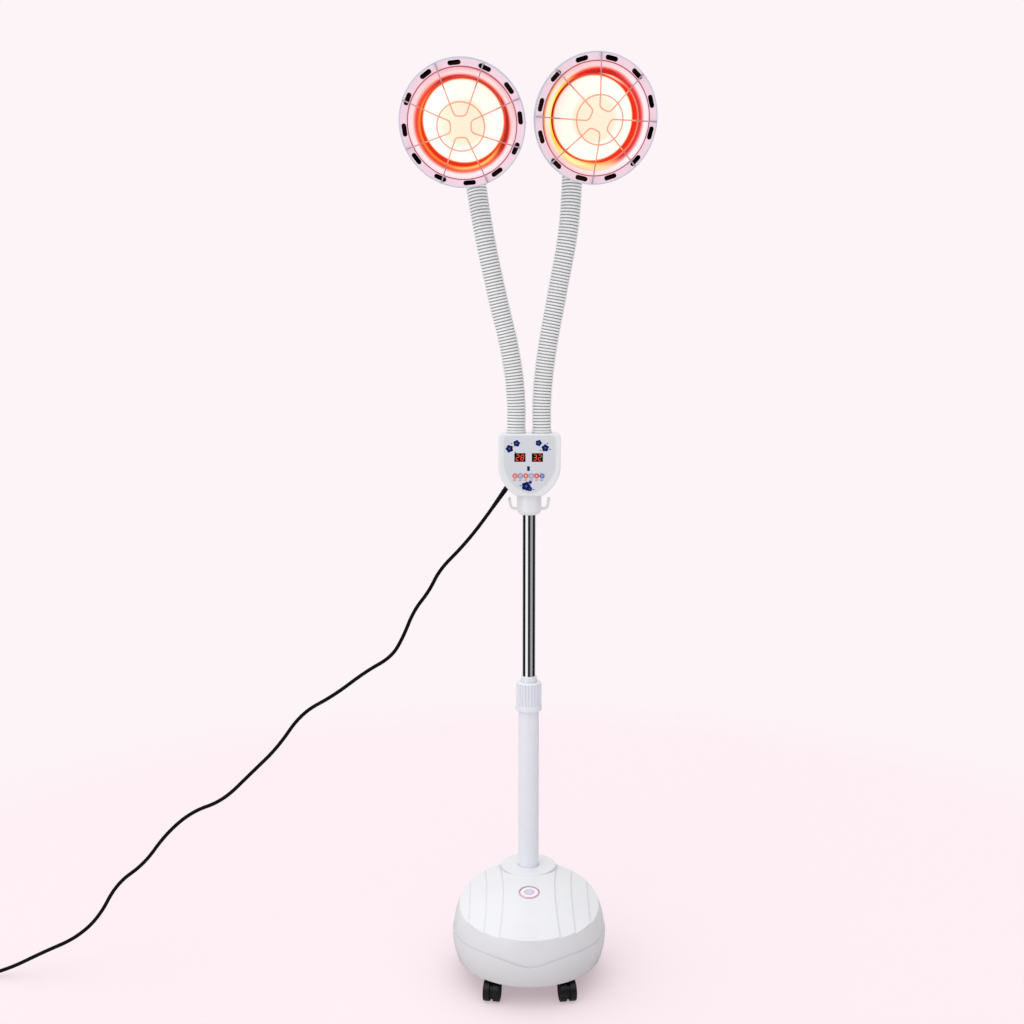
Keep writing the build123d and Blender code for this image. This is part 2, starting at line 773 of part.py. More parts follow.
with BuildPart() as panel_overlay:
    with BuildSketch(front_face):
        with BuildLine():
            ThreePointArc((overlay_half_width, overlay_shoulder), overlay_cheek, (0, overlay_foot))
            ThreePointArc(
                (0, overlay_foot),
                (-overlay_cheek[0], overlay_cheek[1]),
                (-overlay_half_width, overlay_shoulder),
            )
            FilletPolyline(
                (-overlay_half_width, overlay_shoulder),
                (-overlay_half_width, overlay_top),
                (overlay_half_width, overlay_top),
                (overlay_half_width, overlay_shoulder),
                radius=overlay_corner,
            )
        make_face()
        for place in display_places:
            with Locations((place, display_height)):
                Rectangle(*display_hole, mode=Mode.SUBTRACT)
        with Locations((window_place, window_height)):
            Rectangle(*window_hole, mode=Mode.SUBTRACT)
        with Locations(*key_places):
            Circle(key_hole, mode=Mode.SUBTRACT)
    extrude(amount=overlay_thickness)
keep(panel_overlay, "panel_overlay")

with BuildPart() as displays:
    with BuildSketch(panel_face):
        for place in display_places:
            with Locations((place, display_height)):
                Rectangle(*display_size)
    extrude(amount=-(board_y - box_front_y + overlay_thickness))
keep(displays, "displays")

with BuildPart() as ir_window:
    with BuildSketch(panel_face):
        with Locations((window_place, window_height)):
            Rectangle(*window_size)
    extrude(amount=-(board_y - box_front_y + overlay_thickness))
keep(ir_window, "ir_window")

with BuildPart() as circuit_board:
    with BuildSketch(Plane(origin=(0, board_y, 0), x_dir=(1, 0, 0), z_dir=(0, -1, 0))):
        with Locations((0, board_height)):
            Rectangle(*board_size)
    extrude(amount=-board_thickness)
keep(circuit_board, "circuit_board")

for number, place in enumerate(key_places, start=1):
    with BuildPart() as key:
        with BuildSketch(panel_face.offset(key_proud)):
            with Locations(place):
                Circle(key_radius)
        extrude(amount=-(key_proud + overlay_thickness + box_wall + key_travel))
        fillet(key.faces().sort_by(Axis.Y)[0].edges(), key_round)
        with BuildSketch(inside_face.offset(-body_gap)):
            with Locations(place):
                Circle(key_flange_radius)
        extrude(amount=-key_flange_thickness)
    keep(key, f"key_{number}")

# ---- goosenecks
def neck_piece(start, end, ball, socket):
    """Corrugated tube between two stations: a ball at its start, a socket at its end."""
    start, end = Vector(*start), Vector(*end)
    along = (end - start).normalized()
    across = along.cross(Vector(0, 1, 0)).normalized()
    length = (end - start).length
    plane = Plane(origin=start, x_dir=across, z_dir=across.cross(along))
    edge = neck_radius * tan(radians(notch_angle))
    lean = (cos(radians(notch_angle)), sin(radians(notch_angle)))
    first, last = (edge if ball else 0), (length - edge if socket else length)
    rings = int((last - first) / neck_pitch)
    pitch = (last - first) / rings
    cup = neck_ball + body_gap
    points = [(neck_radius, first)]
    for ring in range(rings):
        points.append((neck_groove_radius, first + (ring + 0.5) * pitch))
        points.append((neck_radius, first + (ring + 1) * pitch))
    with BuildPart() as piece:
        with BuildSketch(plane):
            with BuildLine():
                if ball:
                    ThreePointArc((0, -neck_ball), (neck_ball, 0), (neck_ball * lean[0], neck_ball * lean[1]))
                    Line((neck_ball * lean[0], neck_ball * lean[1]), points[0])
                else:
                    Line((0, 0), points[0])
                Polyline(*points)
                if socket:
                    rim = (cup * lean[0], length - cup * lean[1])
                    middle = radians(notch_angle / 2 + 45)
                    Line(points[-1], rim)
                    ThreePointArc(rim, (cup * cos(middle), length - cup * sin(middle)), (0, length - cup))
                    Line((0, length - cup), (0, -neck_ball if ball else 0))
                else:
                    Polyline(points[-1], (0, length), (0, -neck_ball if ball else 0))
            make_face()
        revolve(axis=Axis(start, along))
    return piece


neck_stations = {
    side: [(x, y, box_top + rise) for (x, y), rise in zip(places, neck_rises)]
    for side, places in neck_places.items()
}
with BuildPart() as neck_roots:
    for stations in neck_stations.values():
        flange_centre = (stations[0][0], stations[0][1], box_top + neck_flange_thickness)
        add(neck_piece(flange_centre, stations[0], False, True).part)
    with BuildSketch(Plane.XY.offset(box_top)):
        with Locations(*neck_feet):
            Circle(neck_flange_radius)
    extrude(amount=neck_flange_thickness)
    with BuildSketch(Plane.XY.offset(box_top)):
        with Locations(*neck_feet):
            Circle(neck_nipple_radius)
    extrude(amount=-neck_nipple_length)
keep(neck_roots, "neck_roots")

# ---- heads
def guard_lift(reach):
    """Height of the guard's dome over the flange, at a distance from the head's axis."""
    return guard_wire + seat_gap + guard_rise * (1 - (reach / guard_reach) ** 2)


# One leg of the guard, seen from the front: its tip on the flange, its crossing with the ring and the
# corner at the bottom of its loop.
guard_tip = Vector(guard_reach * sin(pi / guard_legs), guard_reach * cos(pi / guard_legs))
guard_corner = Vector(guard_bow, guard_inner)
guard_leg = (guard_tip - guard_corner).normalized()
corner_run = guard_corner.dot(guard_leg)
crossing_run = (guard_ring**2 - guard_corner.length**2 + corner_run**2) ** 0.5 - corner_run
guard_crossing = guard_corner + guard_leg * crossing_run
guard_loop = [(point.X, point.Y) for point in (guard_tip, guard_crossing, guard_corner)]
guard_loop += [(-out, up) for out, up in reversed(guard_loop)]
guard_bends = (guard_ring_bend, guard_bend, guard_bend, guard_ring_bend)

housing_rim = shade_radius - shade_wall - loose_gap
for side, stations in neck_stations.items():
    yaw, pitch = radians(head_yaws[side]), radians(head_pitches[side])
    facing = Vector(sin(yaw) * cos(pitch), -cos(yaw) * cos(pitch), -sin(pitch))
    right = Vector(cos(yaw), sin(yaw), 0)
    above = facing.cross(right)
    centre = Vector(*head_places[side], box_top + head_rises[side])
    head_axis = Axis(centre, facing)
    head_face = Plane(origin=centre, x_dir=right, z_dir=facing)
    head_profile = Plane(origin=centre, x_dir=right, z_dir=right.cross(facing))
    neck_end = centre + facing * neck_join - above * neck_join_drop

    pieces = list(zip(stations, stations[1:] + [tuple(neck_end)]))
    for number, (start, end) in enumerate(pieces, start=1):
        keep(neck_piece(start, end, True, number < len(pieces)), f"neck_{side}_{number}")

    with BuildPart() as shade:
        with BuildSketch(head_profile):
            with BuildLine():
                Polyline(
                    (shade_radius, -shade_lip),
                    (shade_radius, 0),
                    (shade_radius - shade_wall, 0),
                    (shade_step, -shade_wall),
                )
                Spline((shade_step, -shade_wall), shade_waist, (shade_throat, -shade_depth))
                Polyline(
                    (shade_throat, -shade_depth),
                    (shade_throat_hole, -shade_depth),
                    (shade_throat_hole, -shade_depth - shade_wall),
                    (shade_throat + shade_wall, -shade_depth - shade_wall),
                )
                Spline(
                    (shade_throat + shade_wall, -shade_depth - shade_wall),
                    (shade_waist[0] + shade_wall, shade_waist[1]),
                    (shade_step + shade_wall / 2, -2 * shade_wall),
                )
                Polyline(
                    (shade_step + shade_wall / 2, -2 * shade_wall),
                    (shade_radius - shade_wall, -shade_wall),
                    (shade_radius - shade_wall, -shade_lip),
                    (shade_radius, -shade_lip),
                )
            make_face()
        revolve(axis=head_axis)
        with BuildSketch(head_face.offset(overcut)):
            with PolarLocations(slot_circle, slot_count, start_angle=90 - slot_turns[side]):
                SlotOverall(slot_length, slot_width, rotation=90)
        extrude(amount=-4 * shade_wall, mode=Mode.SUBTRACT)
    keep(shade, f"shade_{side}")

    with BuildPart() as rear_housing:
        with BuildSketch(head_profile):
            with BuildLine():
                Line((0, housing_front), (housing_rim, housing_front))
                ThreePointArc(
                    (housing_rim, housing_front),
                    housing_waist,
                    housing_shoulder,
                )
                ThreePointArc(housing_shoulder, housing_round, (housing_end_radius, housing_end))
                Polyline((housing_end_radius, housing_end), (0, housing_end), (0, housing_front))
            make_face()
        revolve(axis=head_axis)
        boss_along = (neck_end - Vector(*stations[-1])).normalized()
        with BuildSketch(Plane(origin=neck_end, z_dir=boss_along)):
            Circle(boss_radius)
        extrude(amount=boss_length)
        with BuildSketch(head_profile):
            with BuildLine():
                Polyline(
                    (0, housing_front + overcut),
                    (housing_rim - housing_wall, housing_front + overcut),
                    (housing_rim - housing_wall, housing_front),
                )
                ThreePointArc(
                    (housing_rim - housing_wall, housing_front),
                    (housing_waist[0] - housing_wall, housing_waist[1]),
                    (housing_shoulder[0] - housing_wall, housing_shoulder[1]),
                )
                Polyline(
                    (housing_shoulder[0] - housing_wall, housing_shoulder[1]),
                    (housing_end_radius, housing_end + housing_wall),
                    (0, housing_end + housing_wall),
                    (0, housing_front + overcut),
                )
            make_face()
        revolve(axis=head_axis, mode=Mode.SUBTRACT)
    keep(rear_housing, f"rear_housing_{side}")

    with BuildPart() as bulb:
        with BuildSketch(head_profile):
            with BuildLine():
                ThreePointArc((0, bulb_crown), bulb_face, (bulb_radius - bulb_edge, bulb_rim))
                ThreePointArc(
                    (bulb_radius - bulb_edge, bulb_rim),
                    (bulb_radius, bulb_rim - bulb_edge),
                    bulb_back,
                )
                Spline(bulb_back, bulb_waist, (bulb_neck_radius, bulb_neck_start))
                Polyline(
                    (bulb_neck_radius, bulb_neck_start),
                    (bulb_neck_radius, bulb_neck_end),
                    (cap_radius, bulb_neck_end),
                    (cap_radius, cap_end),
                    (0, cap_end),
                    (0, bulb_crown),
                )
            make_face()
        revolve(axis=head_axis)
    keep(bulb, f"bulb_{side}")

    with BuildPart() as lamp_socket:
        with BuildSketch(head_profile):
            with BuildLine():
                Polyline(
                    (cap_radius + loose_gap, socket_front),
                    (socket_outer, socket_front),
                    (socket_outer, housing_end + housing_wall),
                    (0, housing_end + housing_wall),
                    (0, cap_end - loose_gap),
                    (cap_radius + loose_gap, cap_end - loose_gap),
                    close=True,
                )
            make_face()
        revolve(axis=head_axis)
    keep(lamp_socket, f"lamp_socket_{side}")

    with BuildPart() as guard:
        for wire in range(guard_legs // 2):
            turn = radians(90 - guard_turns[side] - 720 / guard_legs * wire)
            wire_points = []
            for out, up in guard_loop:
                x = up * cos(turn) + out * sin(turn)
                y = up * sin(turn) - out * cos(turn)
                lift = guard_lift((out**2 + up**2) ** 0.5)
                wire_points.append(tuple(head_face.from_local_coords(Vector(x, y, lift))))
            with BuildLine() as wire_path:
                FilletPolyline(*wire_points, radius=guard_bends)
            with BuildSketch(Plane(origin=wire_path.line @ 0, z_dir=wire_path.line % 0)):
                Circle(guard_wire)
            sweep(path=wire_path.line)
        ring_start = centre + facing * (guard_lift(guard_ring) + guard_wire) + right * guard_ring
        with BuildSketch(Plane(origin=ring_start, x_dir=right, z_dir=above)):
            Circle(guard_wire)
        revolve(axis=head_axis)
    keep(guard, f"guard_{side}")

# ---- power cord, its strain relief, its coil and its plug
path_vectors = [Vector(*point) for point in cord_points]
cord_radii = []
for before, corner, after in zip(path_vectors, path_vectors[1:], path_vectors[2:]):
    turn = (corner - before).get_angle(after - corner)
    shorter = min((corner - before).length, (after - corner).length)
    cord_radii.append(cord_run_share * shorter / tan(radians(turn / 2)))
print("cord radii", [round(radius) for radius in cord_radii])
with BuildPart() as cord_tube:
    with BuildLine() as cord_path:
        FilletPolyline(*cord_points, radius=cord_radii)
    with BuildSketch(Plane(origin=cord_path.line @ 0, z_dir=cord_path.line % 0)):
        Circle(cord_radius)
    sweep(path=cord_path.line)
cord_length = sum(edge.length for edge in cord_path.edges())
cord_volume = pi * cord_radius**2 * cord_length
print("cord length", round(cord_length), "volume share", round(cord_tube.part.volume / cord_volume, 4))
keep(cord_tube, "cord_tube")

with BuildPart() as cord_gland:
    with BuildSketch(relief_plane):
        Circle(relief_end_radius)
    with BuildSketch(gland_plane):
        Circle(relief_root_radius)
    loft()
    with BuildSketch(gland_plane):
        Circle(relief_root_radius)
    extrude(amount=gland_length)
keep(cord_gland, "cord_gland")

cord_end = Vector(*cord_points[-1])
lead_start = cord_end - Vector(body_gap, 0, 0)
coil_centre = Vector(lead_start.X - coil_lead, cord_end.Y - coil_radius - cord_radius, coil_half_section)
with BuildPart() as cord_coil:
    with BuildSketch(Plane.XY):
        with Locations((coil_centre.X, coil_centre.Y)):
            Circle(coil_radius + coil_half_section)
            Circle(coil_radius - coil_half_section, mode=Mode.SUBTRACT)
    extrude(amount=2 * coil_half_section)
    fillet(cord_coil.edges(), coil_round)
    with BuildSketch(Plane(origin=lead_start, z_dir=(-1, 0, 0))):
        Circle(cord_radius)
    extrude(amount=coil_lead)
    tail_x = coil_centre.X - coil_radius - cord_radius
    with BuildSketch(Plane(origin=(tail_x, coil_centre.Y, plug_size[2] / 2), z_dir=(0, -1, 0))):
        Circle(cord_radius)
    extrude(amount=plug_relief_start)
keep(cord_coil, "cord_coil")

plug_face = Plane(
    origin=(tail_x, coil_centre.Y - plug_relief_start, plug_size[2] / 2),
    x_dir=(1, 0, 0),
    z_dir=(0, -1, 0),
)
with BuildPart() as plug:
    with BuildSketch(plug_face):
        Circle(plug_relief_end)
    with BuildSketch(plug_face.offset(plug_relief_length)):
        Circle(plug_relief_root)
    loft()
    with BuildSketch(plug_face.offset(plug_relief_length)):
        RectangleRounded(plug_size[0], plug_size[2], plug_corner)
    extrude(amount=plug_size[1])
    with BuildSketch(plug_face.offset(plug_relief_length + plug_size[1])):
        with GridLocations(plug_pin_pitch, 0, 2, 1):
            Circle(plug_pin_radius)
    extrude(amount=plug_pin_length)
keep(plug, "plug")
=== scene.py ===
import math
from functools import partial

import bmesh
import bpy
from mathutils import Matrix, Vector


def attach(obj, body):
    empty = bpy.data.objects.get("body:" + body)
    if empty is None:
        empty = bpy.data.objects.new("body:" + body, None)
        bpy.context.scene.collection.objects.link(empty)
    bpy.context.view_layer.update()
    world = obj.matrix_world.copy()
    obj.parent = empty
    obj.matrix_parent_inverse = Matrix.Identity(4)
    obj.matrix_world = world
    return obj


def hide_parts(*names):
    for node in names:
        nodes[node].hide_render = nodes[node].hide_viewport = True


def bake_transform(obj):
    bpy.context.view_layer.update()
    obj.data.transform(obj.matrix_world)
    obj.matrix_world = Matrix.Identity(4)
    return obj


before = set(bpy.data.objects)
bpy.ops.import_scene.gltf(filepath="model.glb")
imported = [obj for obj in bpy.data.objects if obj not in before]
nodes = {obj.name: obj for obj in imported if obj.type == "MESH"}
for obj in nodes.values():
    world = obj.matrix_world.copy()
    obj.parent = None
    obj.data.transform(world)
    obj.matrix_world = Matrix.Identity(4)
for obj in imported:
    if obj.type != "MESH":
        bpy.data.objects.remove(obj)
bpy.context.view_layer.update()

# Two-headed infrared therapy lamp on a caster base. Metres in the CAD's frame: front is -Y, floor is z = 0.
mm = 0.001
scene = bpy.context.scene
print("frame loaded:", len(nodes), "nodes")


# Small helpers.

def mmVector(x, y, z):
    return Vector((x, y, z)) * mm


# sRGB hex to linear RGBA.
def hexColour(text):
    values = [int(text[place:place + 2], 16) / 255 for place in (1, 3, 5)]
    return tuple(v / 12.92 if v <= 0.04045 else ((v + 0.055) / 1.055) ** 2.4 for v in values) + (1.0,)


# Fills a node's inputs: each gets a plain value, a hex colour, a socket, or a node's first live output.
def fillInputs(node, inputs):
    for key, value in inputs.items():
        if isinstance(value, bpy.types.Node):
            value = next(socket for socket in value.outputs if socket.enabled)
        if isinstance(value, bpy.types.NodeSocket):
            node.id_data.links.new(value, node.inputs[key])
            continue
        isColour = isinstance(value, str) and value.startswith("#")
        node.inputs[key].default_value = hexColour(value) if isColour else value


# Adds a node with its inputs and settings. A kind that doesn't say Node is a shader node.
def addNode(tree, kind, inputs=None, **settings):
    node = tree.nodes.new(kind if "Node" in kind else f"ShaderNode{kind}")
    for key, value in settings.items():
        setattr(node, key, value)
    fillInputs(node, inputs or {})
    return node


def linkObject(name, data):
    holder = bpy.data.objects.new(name, data)
    scene.collection.objects.link(holder)
    return holder


def linkPiece(name, mesh, material=None):
    piece = linkObject(name, mesh)
    if material:
        mesh.materials.clear()
        mesh.materials.append(material)
    return piece


def meshPiece(name, points, faces, material, smooth=True):
    mesh = bpy.data.meshes.new(name)
    mesh.from_pydata([tuple(p) for p in points], [], faces)
    mesh.validate()
    work = bmesh.new()
    work.from_mesh(mesh)
    bmesh.ops.remove_doubles(work, verts=work.verts, dist=1e-7)
    bmesh.ops.recalc_face_normals(work, faces=work.faces)
    work.to_mesh(mesh)
    work.free()
    for face in mesh.polygons:
        face.use_smooth = smooth
    return linkPiece(name, mesh, material)


# Matrix whose Z runs along the given direction, with its X to the side aside.
def axisFrame(origin, along, aside=(1, 0, 0)):
    up = Vector(along).normalized()
    side = Vector(aside)
    side = (side - up * side.dot(up)).normalized()
    turn = Matrix((side, up.cross(side), up)).transposed().to_4x4()
    return Matrix.Translation(Vector(origin)) @ turn


# Turns a profile of (radius, height) pairs in mm round the Z axis of place.
def lathe(name, profile, place, material, steps=64, closed=False):
    points, faces = [], []
    for step in range(steps):
        angle = 2 * math.pi * step / steps
        for radius, height in profile:
            points.append(place @ mmVector(radius * math.cos(angle), radius * math.sin(angle), height))
    count = len(profile)
    for step in range(steps):
        here, there = step * count, (step + 1) % steps * count
        for index in range(count if closed else count - 1):
            after = (index + 1) % count
            faces.append((here + index, there + index, there + after, here + after))
    return meshPiece(name, points, faces, material)


# One or more solids, each of outlines with equal point counts, joined in order and closed at both ends. An
# outline is a list of (x, y) in mm on the XY plane of place and comes with its height.
def loftPiece(name, solids, place, material, smooth=True):
    points, faces = [], []
    for sections in solids:
        start, count = len(points), len(sections[0][1])
        for height, outline in sections:
            points += [place @ mmVector(x, y, height) for x, y in outline]
        for low in range(start, len(points) - count, count):
            for index in range(count):
                after = (index + 1) % count
                faces.append((low + index, low + after, low + count + after, low + count + index))
        faces.append(tuple(range(start + count - 1, start - 1, -1)))
        faces.append(tuple(range(len(points) - count, len(points))))
    return meshPiece(name, points, faces, material, smooth)


# Thin raised print of one or more outlines.
def flatPiece(name, outlines, place, thickness, material):
    solids = [[(0, outline), (thickness, outline)] for outline in outlines]
    return loftPiece(name, solids, place, material, smooth=False)


# Camera: the cord's points were measured against its view.

cameraView = {
    "eye": (-0.0278, -1.858, 1.006),
    "pitchDown": 7.46,
    "lens": 42.06,
    "sensor": 36.0,
}
cameraData = bpy.data.cameras.new("camera")
cameraData.lens = cameraView["lens"]
cameraData.sensor_width = cameraView["sensor"]
cameraObject = linkObject("camera", cameraData)
cameraObject.location = cameraView["eye"]
cameraObject.rotation_euler = (math.radians(90 - cameraView["pitchDown"]), 0, 0)
scene.camera = cameraObject
print("camera set")


# Materials: one colour, or two that the surface drifts between, and a range of roughness. A grain, where
# there is one, has a size and a depth in mm.

grainShape = {
    "noiseRange": (0.3, 0.7),  # most of the noise lies between these
    "bump": 0.6,
    "cloudSize": 18,  # the drift of the colours, by the grain's size
}


# Gives the material, what adds a node to it, and its shader.
def newMaterial(name, colours, gloss, size=None, depth=0.0, metallic=0.0, coat=0.0, specular=0.5,
                stretch=(1, 1, 1)):
    material = bpy.data.materials.new(name)
    material.use_nodes = True
    tree = material.node_tree
    add = partial(addNode, tree)
    shader = tree.nodes["Principled BSDF"]
    fillInputs(shader, {"Base Color": colours[0], "Roughness": gloss[0], "Metallic": metallic,
                        "Coat Weight": coat, "Specular IOR Level": specular})
    if not size:
        return material, add, shader
    low, high = grainShape["noiseRange"]
    coordinates = add("TexCoord").outputs["Object"]
    spread = add("Mapping", {"Vector": coordinates, "Scale": stretch})
    noise = add("TexNoise", {"Vector": spread, "Scale": 1 / (size * mm), "Detail": 4.0})
    bump = add("Bump", {"Height": noise, "Strength": grainShape["bump"], "Distance": depth * mm})
    rough = add("MapRange",
                {"Value": noise, "From Min": low, "From Max": high, "To Min": gloss[0], "To Max": gloss[1]})
    fillInputs(shader, {"Normal": bump, "Roughness": rough})
    if len(colours) > 1:
        scale = 1 / (size * grainShape["cloudSize"] * mm)
        clouds = add("TexNoise", {"Vector": spread, "Scale": scale, "Detail": 2.0})
        blend = add("Mix", {0: clouds, 6: colours[0], 7: colours[1]}, data_type="RGBA")
        fillInputs(shader, {"Base Color": blend})
    return material, add, shader


def makeFinish(*values, **more):
    return newMaterial(*values, **more)[0]


# The stops are colours by position.
def colourRamp(add, factor, stops):
    ramp = add("ValToRGB", {"Fac": factor})
    elements = ramp.color_ramp.elements
    first, *between, last = stops.items()
    for element, (position, colour) in zip(elements, (first, last)):
        element.position, element.color = position, hexColour(colour)
    for position, colour in between:
        elements.new(position).color = hexColour(colour)
    return ramp


# Injection-moulded ABS, polished tool: white with a cool cast, a soft wet gloss and the faintest peel. Its
# dips and steps get painted shade: they are darkened as far as the reach in mm, where soft light falls less.
absPeel = {
    "colours": ("#EBECF0", "#F1F1F4"),
    "gloss": (0.2, 0.28),
    "size": 3.0,
    "depth": 0.004,
    "coat": 0.35,
}
# how open a dip is where its painted shade is darkest and where there is none, and the gloss over all
absLook = {"shadeRange": (0.72, 0.98), "coatRoughness": 0.08}


def makeWhiteAbs(name="whiteGlossAbs", reach=4.5, creaseShade="#D8DADF", colours=absPeel["colours"]):
    material, add, shader = newMaterial(name, **{**absPeel, "colours": colours})
    plainColour = shader.inputs["Base Color"].links[0].from_socket
    # painted shade: ambient occlusion within the reach darkens dips and steps towards the crease shade
    # colour
    dips = add("AmbientOcclusion", {"Distance": reach * mm}, samples=8, only_local=True)
    low, high = absLook["shadeRange"]
    share = add("MapRange", {"Value": dips.outputs["AO"], "From Min": low, "From Max": high})
    blend = add("Mix", {0: share, 6: creaseShade, 7: plainColour}, data_type="RGBA")
    fillInputs(shader, {"Base Color": blend, "Coat Roughness": absLook["coatRoughness"]})
    return material


# Screen-printed polycarbonate film with a metallic ink: silver blue-grey with a fine sparkle.
filmPrint = {
    "flake": 0.7,  # mm, coarser than real flakes, so that they show
    "sparkle": 0.12,
    "heights": (0.787, 0.879),  # m, between which it turns from the first tone to the second
    "tones": ("#E4E7F0", "#E6E8EF"),
}


def makeOverlayFilm():
    material, add, shader = newMaterial("metallicPrintedFilm", ["#EAECF2"], [0.32], metallic=0.1, coat=0.5)
    coordinates = add("TexCoord").outputs["Object"]
    flakes = add("TexVoronoi", {"Vector": coordinates, "Scale": 1 / (filmPrint["flake"] * mm)})
    flakeTone = add("SeparateColor", {"Color": flakes.outputs["Color"]}).outputs["Red"]
    height = add("SeparateXYZ", {"Vector": coordinates}).outputs["Z"]
    low, high = filmPrint["heights"]
    fade = add("MapRange", {"Value": height, "From Min": low, "From Max": high})
    shade = add("Mix", {0: fade, 6: filmPrint["tones"][0], 7: filmPrint["tones"][1]}, data_type="RGBA")
    sparkle = add("Mix", {0: filmPrint["sparkle"], 6: shade, 7: flakeTone}, data_type="RGBA",
                  blend_type="OVERLAY")
    fillInputs(shader, {"Base Color": sparkle})
    return material


# Blown PVC bellows: white and satin; painted shade makes it dark grey down in the grooves, where no light
# gets.
def makeNeckSkin():
    material, add, shader = newMaterial("satinBellowsPvc", ["#F4F4F5"], (0.32, 0.46), 1.2, 0.03)
    groove = add("Attribute", attribute_name="groove").outputs["Fac"]
    # painted shade: the deeper in a groove, the darker the colour
    colour = colourRamp(add, groove, {0.15: "#F7F7F8", 0.5: "#CACACC", 0.85: "#A2A3A5"})
    fillInputs(shader, {"Base Color": colour})
    return material


plain = {
    "white_abs": makeWhiteAbs(),
    "nut_abs": makeWhiteAbs("whiteRibbedAbs", 1.0, "#E2E4EE", ("#EFF0FB", "#F5F5FD")),
    "overlay": makeOverlayFilm(),
    "neck_skin": makeNeckSkin(),
    # pressed steel, black zinc: dark and slightly oily
    "dark_steel": makeFinish("blackZincSteel", ("#222326", "#303135"), (0.35, 0.55), 1.5, 0.03, 0.8),
    # sand-cast iron: dull grey with a coarse skin
    "iron": makeFinish("sandCastIron", ("#33312F", "#45413D"), (0.6, 0.9), 1.2, 0.25, 0.6),
    # glass-filled nylon: charcoal, matt
    "nylon": makeFinish("filledNylon", ("#35363B", "#424349"), (0.45, 0.65), 0.8, 0.03),
    # moulded black polyurethane and nylon: deep black with a soft sheen and light scuffs
    "wheel": makeFinish("blackWheelNylon", ("#080809", "#111113"), (0.26, 0.48), 1.0, 0.04, specular=0.35),
    # powder-coated steel tube: white with a blue-grey cast and a fine shallow peel
    "outer_paint": makeFinish("powderCoatedTube", ("#EEF0FA", "#F4F5FC"), (0.26, 0.38), 1.6, 0.03, coat=0.2),
    # chrome plate on drawn tube: a mirror with hair-fine polishing lines along its length
    "chrome": makeFinish("chromePlate", ["#F0F1F3"], (0.04, 0.09), 0.7, 0.0008, 1.0, stretch=(1, 1, 0.02)),
    # zinc-plated steel: bright grey, a little cloudy
    "steel": makeFinish("zincPlatedSteel", ("#B0B2B7", "#C6C8CB"), (0.22, 0.42), 0.6, 0.01, 1.0),
    # smoked acrylic: black, glossy
    "display": makeFinish("smokedAcrylic", ("#0A0606", "#140C0C"), (0.06, 0.12), 2.0, 0.002, coat=0.5),
    # infrared filter acrylic: near-black blue
    "ir_filter": makeFinish("infraredFilterAcrylic", ("#0D1A57", "#16276F"), (0.08, 0.14), 2.0, 0.002,
                            coat=0.5),
    # glass-epoxy board with green mask
    "board": makeFinish("greenMaskBoard", ("#1B5233", "#27663F"), (0.35, 0.5), 1.0, 0.02),
    # glazed porcelain: creamy, wet
    "ceramic": makeFinish("glazedPorcelain", ("#EEE9DF", "#F6F3EC"), (0.16, 0.28), 2.5, 0.02, coat=0.6),
    # extruded soft PVC sheath: black, waxy sheen, fine die lines
    "cord_pvc": makeFinish("blackSheathPvc", ("#050506", "#0B0B0C"), (0.4, 0.54), 0.9, 0.02, specular=0.1),
    # nickel-plated brass: warm grey, bright
    "nickel": makeFinish("nickelPlatedBrass", ["#C9C6BE"], (0.16, 0.3), 0.5, 0.006, 1.0),
}

# Dyed silicone key caps: satin.
keyCaps = {
    "red": ("#F0514B", "#F4726B"),
    "grey": ("#8F87A8", "#A9A2BD"),
    "lilac": ("#A5A6CC", "#BCBDDA"),
    "blue": ("#5A6CB4", "#7C8BC6"),
}
for hue, colours in keyCaps.items():
    plain[f"key_{hue}"] = makeFinish(f"{hue}KeyCap", colours, (0.32, 0.46), 0.9, 0.015, coat=0.2)

# Screen-printed ink on film: flat, slightly raised, satin.
inkHues = {
    "navy": ("#031266", "#0A2074"),
    "paleBlue": ("#46609F", "#5F79B4"),
    "pale": ("#F3DCE2", "#F8E8EC"),
    "red": ("#E4504C", "#EC6A64"),
    "lilac": ("#8185B5", "#989CC6"),
}
inks = {hue: makeFinish(f"{hue}ScreenInk", colours, (0.35, 0.5), 0.6, 0.01, specular=0.08)
        for hue, colours in inkHues.items()}
print("plain materials made:", len(plain) + len(inks))


# Cord: hanging lead, coil and plug.

cordRoute = {
    "radius": 3.0,
    # the same points as the CAD tube's, mm
    "points": [
        (-58, 58, 764), (-80, 56, 733), (-110, 53, 697), (-145, 50, 662), (-162, 48, 627), (-187, 45, 596),
        (-205, 43, 551), (-224, 42, 519), (-266, 38, 496), (-318, 32, 457), (-370, 27, 430), (-409, 23, 373),
        (-452, 19, 332), (-499, 14, 286), (-549, 9, 270), (-592, 4, 233), (-627, 1, 184), (-672, -4, 153),
        (-702, -8, 96), (-741, -12, 62), (-792, -16, 41), (-846, -20, 15), (-890, -22, 3.2),
        (-921, -22, 3.1),
    ],
    "coilCentre": (-959.3, -59.0),
    "coilLanes": [(37.0, 3.1), (31.0, 3.1), (31.0, 9.2), (37.0, 9.2)],  # radius and height of each lap
    "pointsPerTurn": 16,
    "coilTurns": 3.25,
    "laneChange": 60.0,  # degrees before a lap's end where the cord moves to the next lane
    "tail": [(-996.3, -68, 8.6), (-996.3, -77, 7.3), (-996.3, -84, 6.85), (-996.3, -91, 6.85)],
}


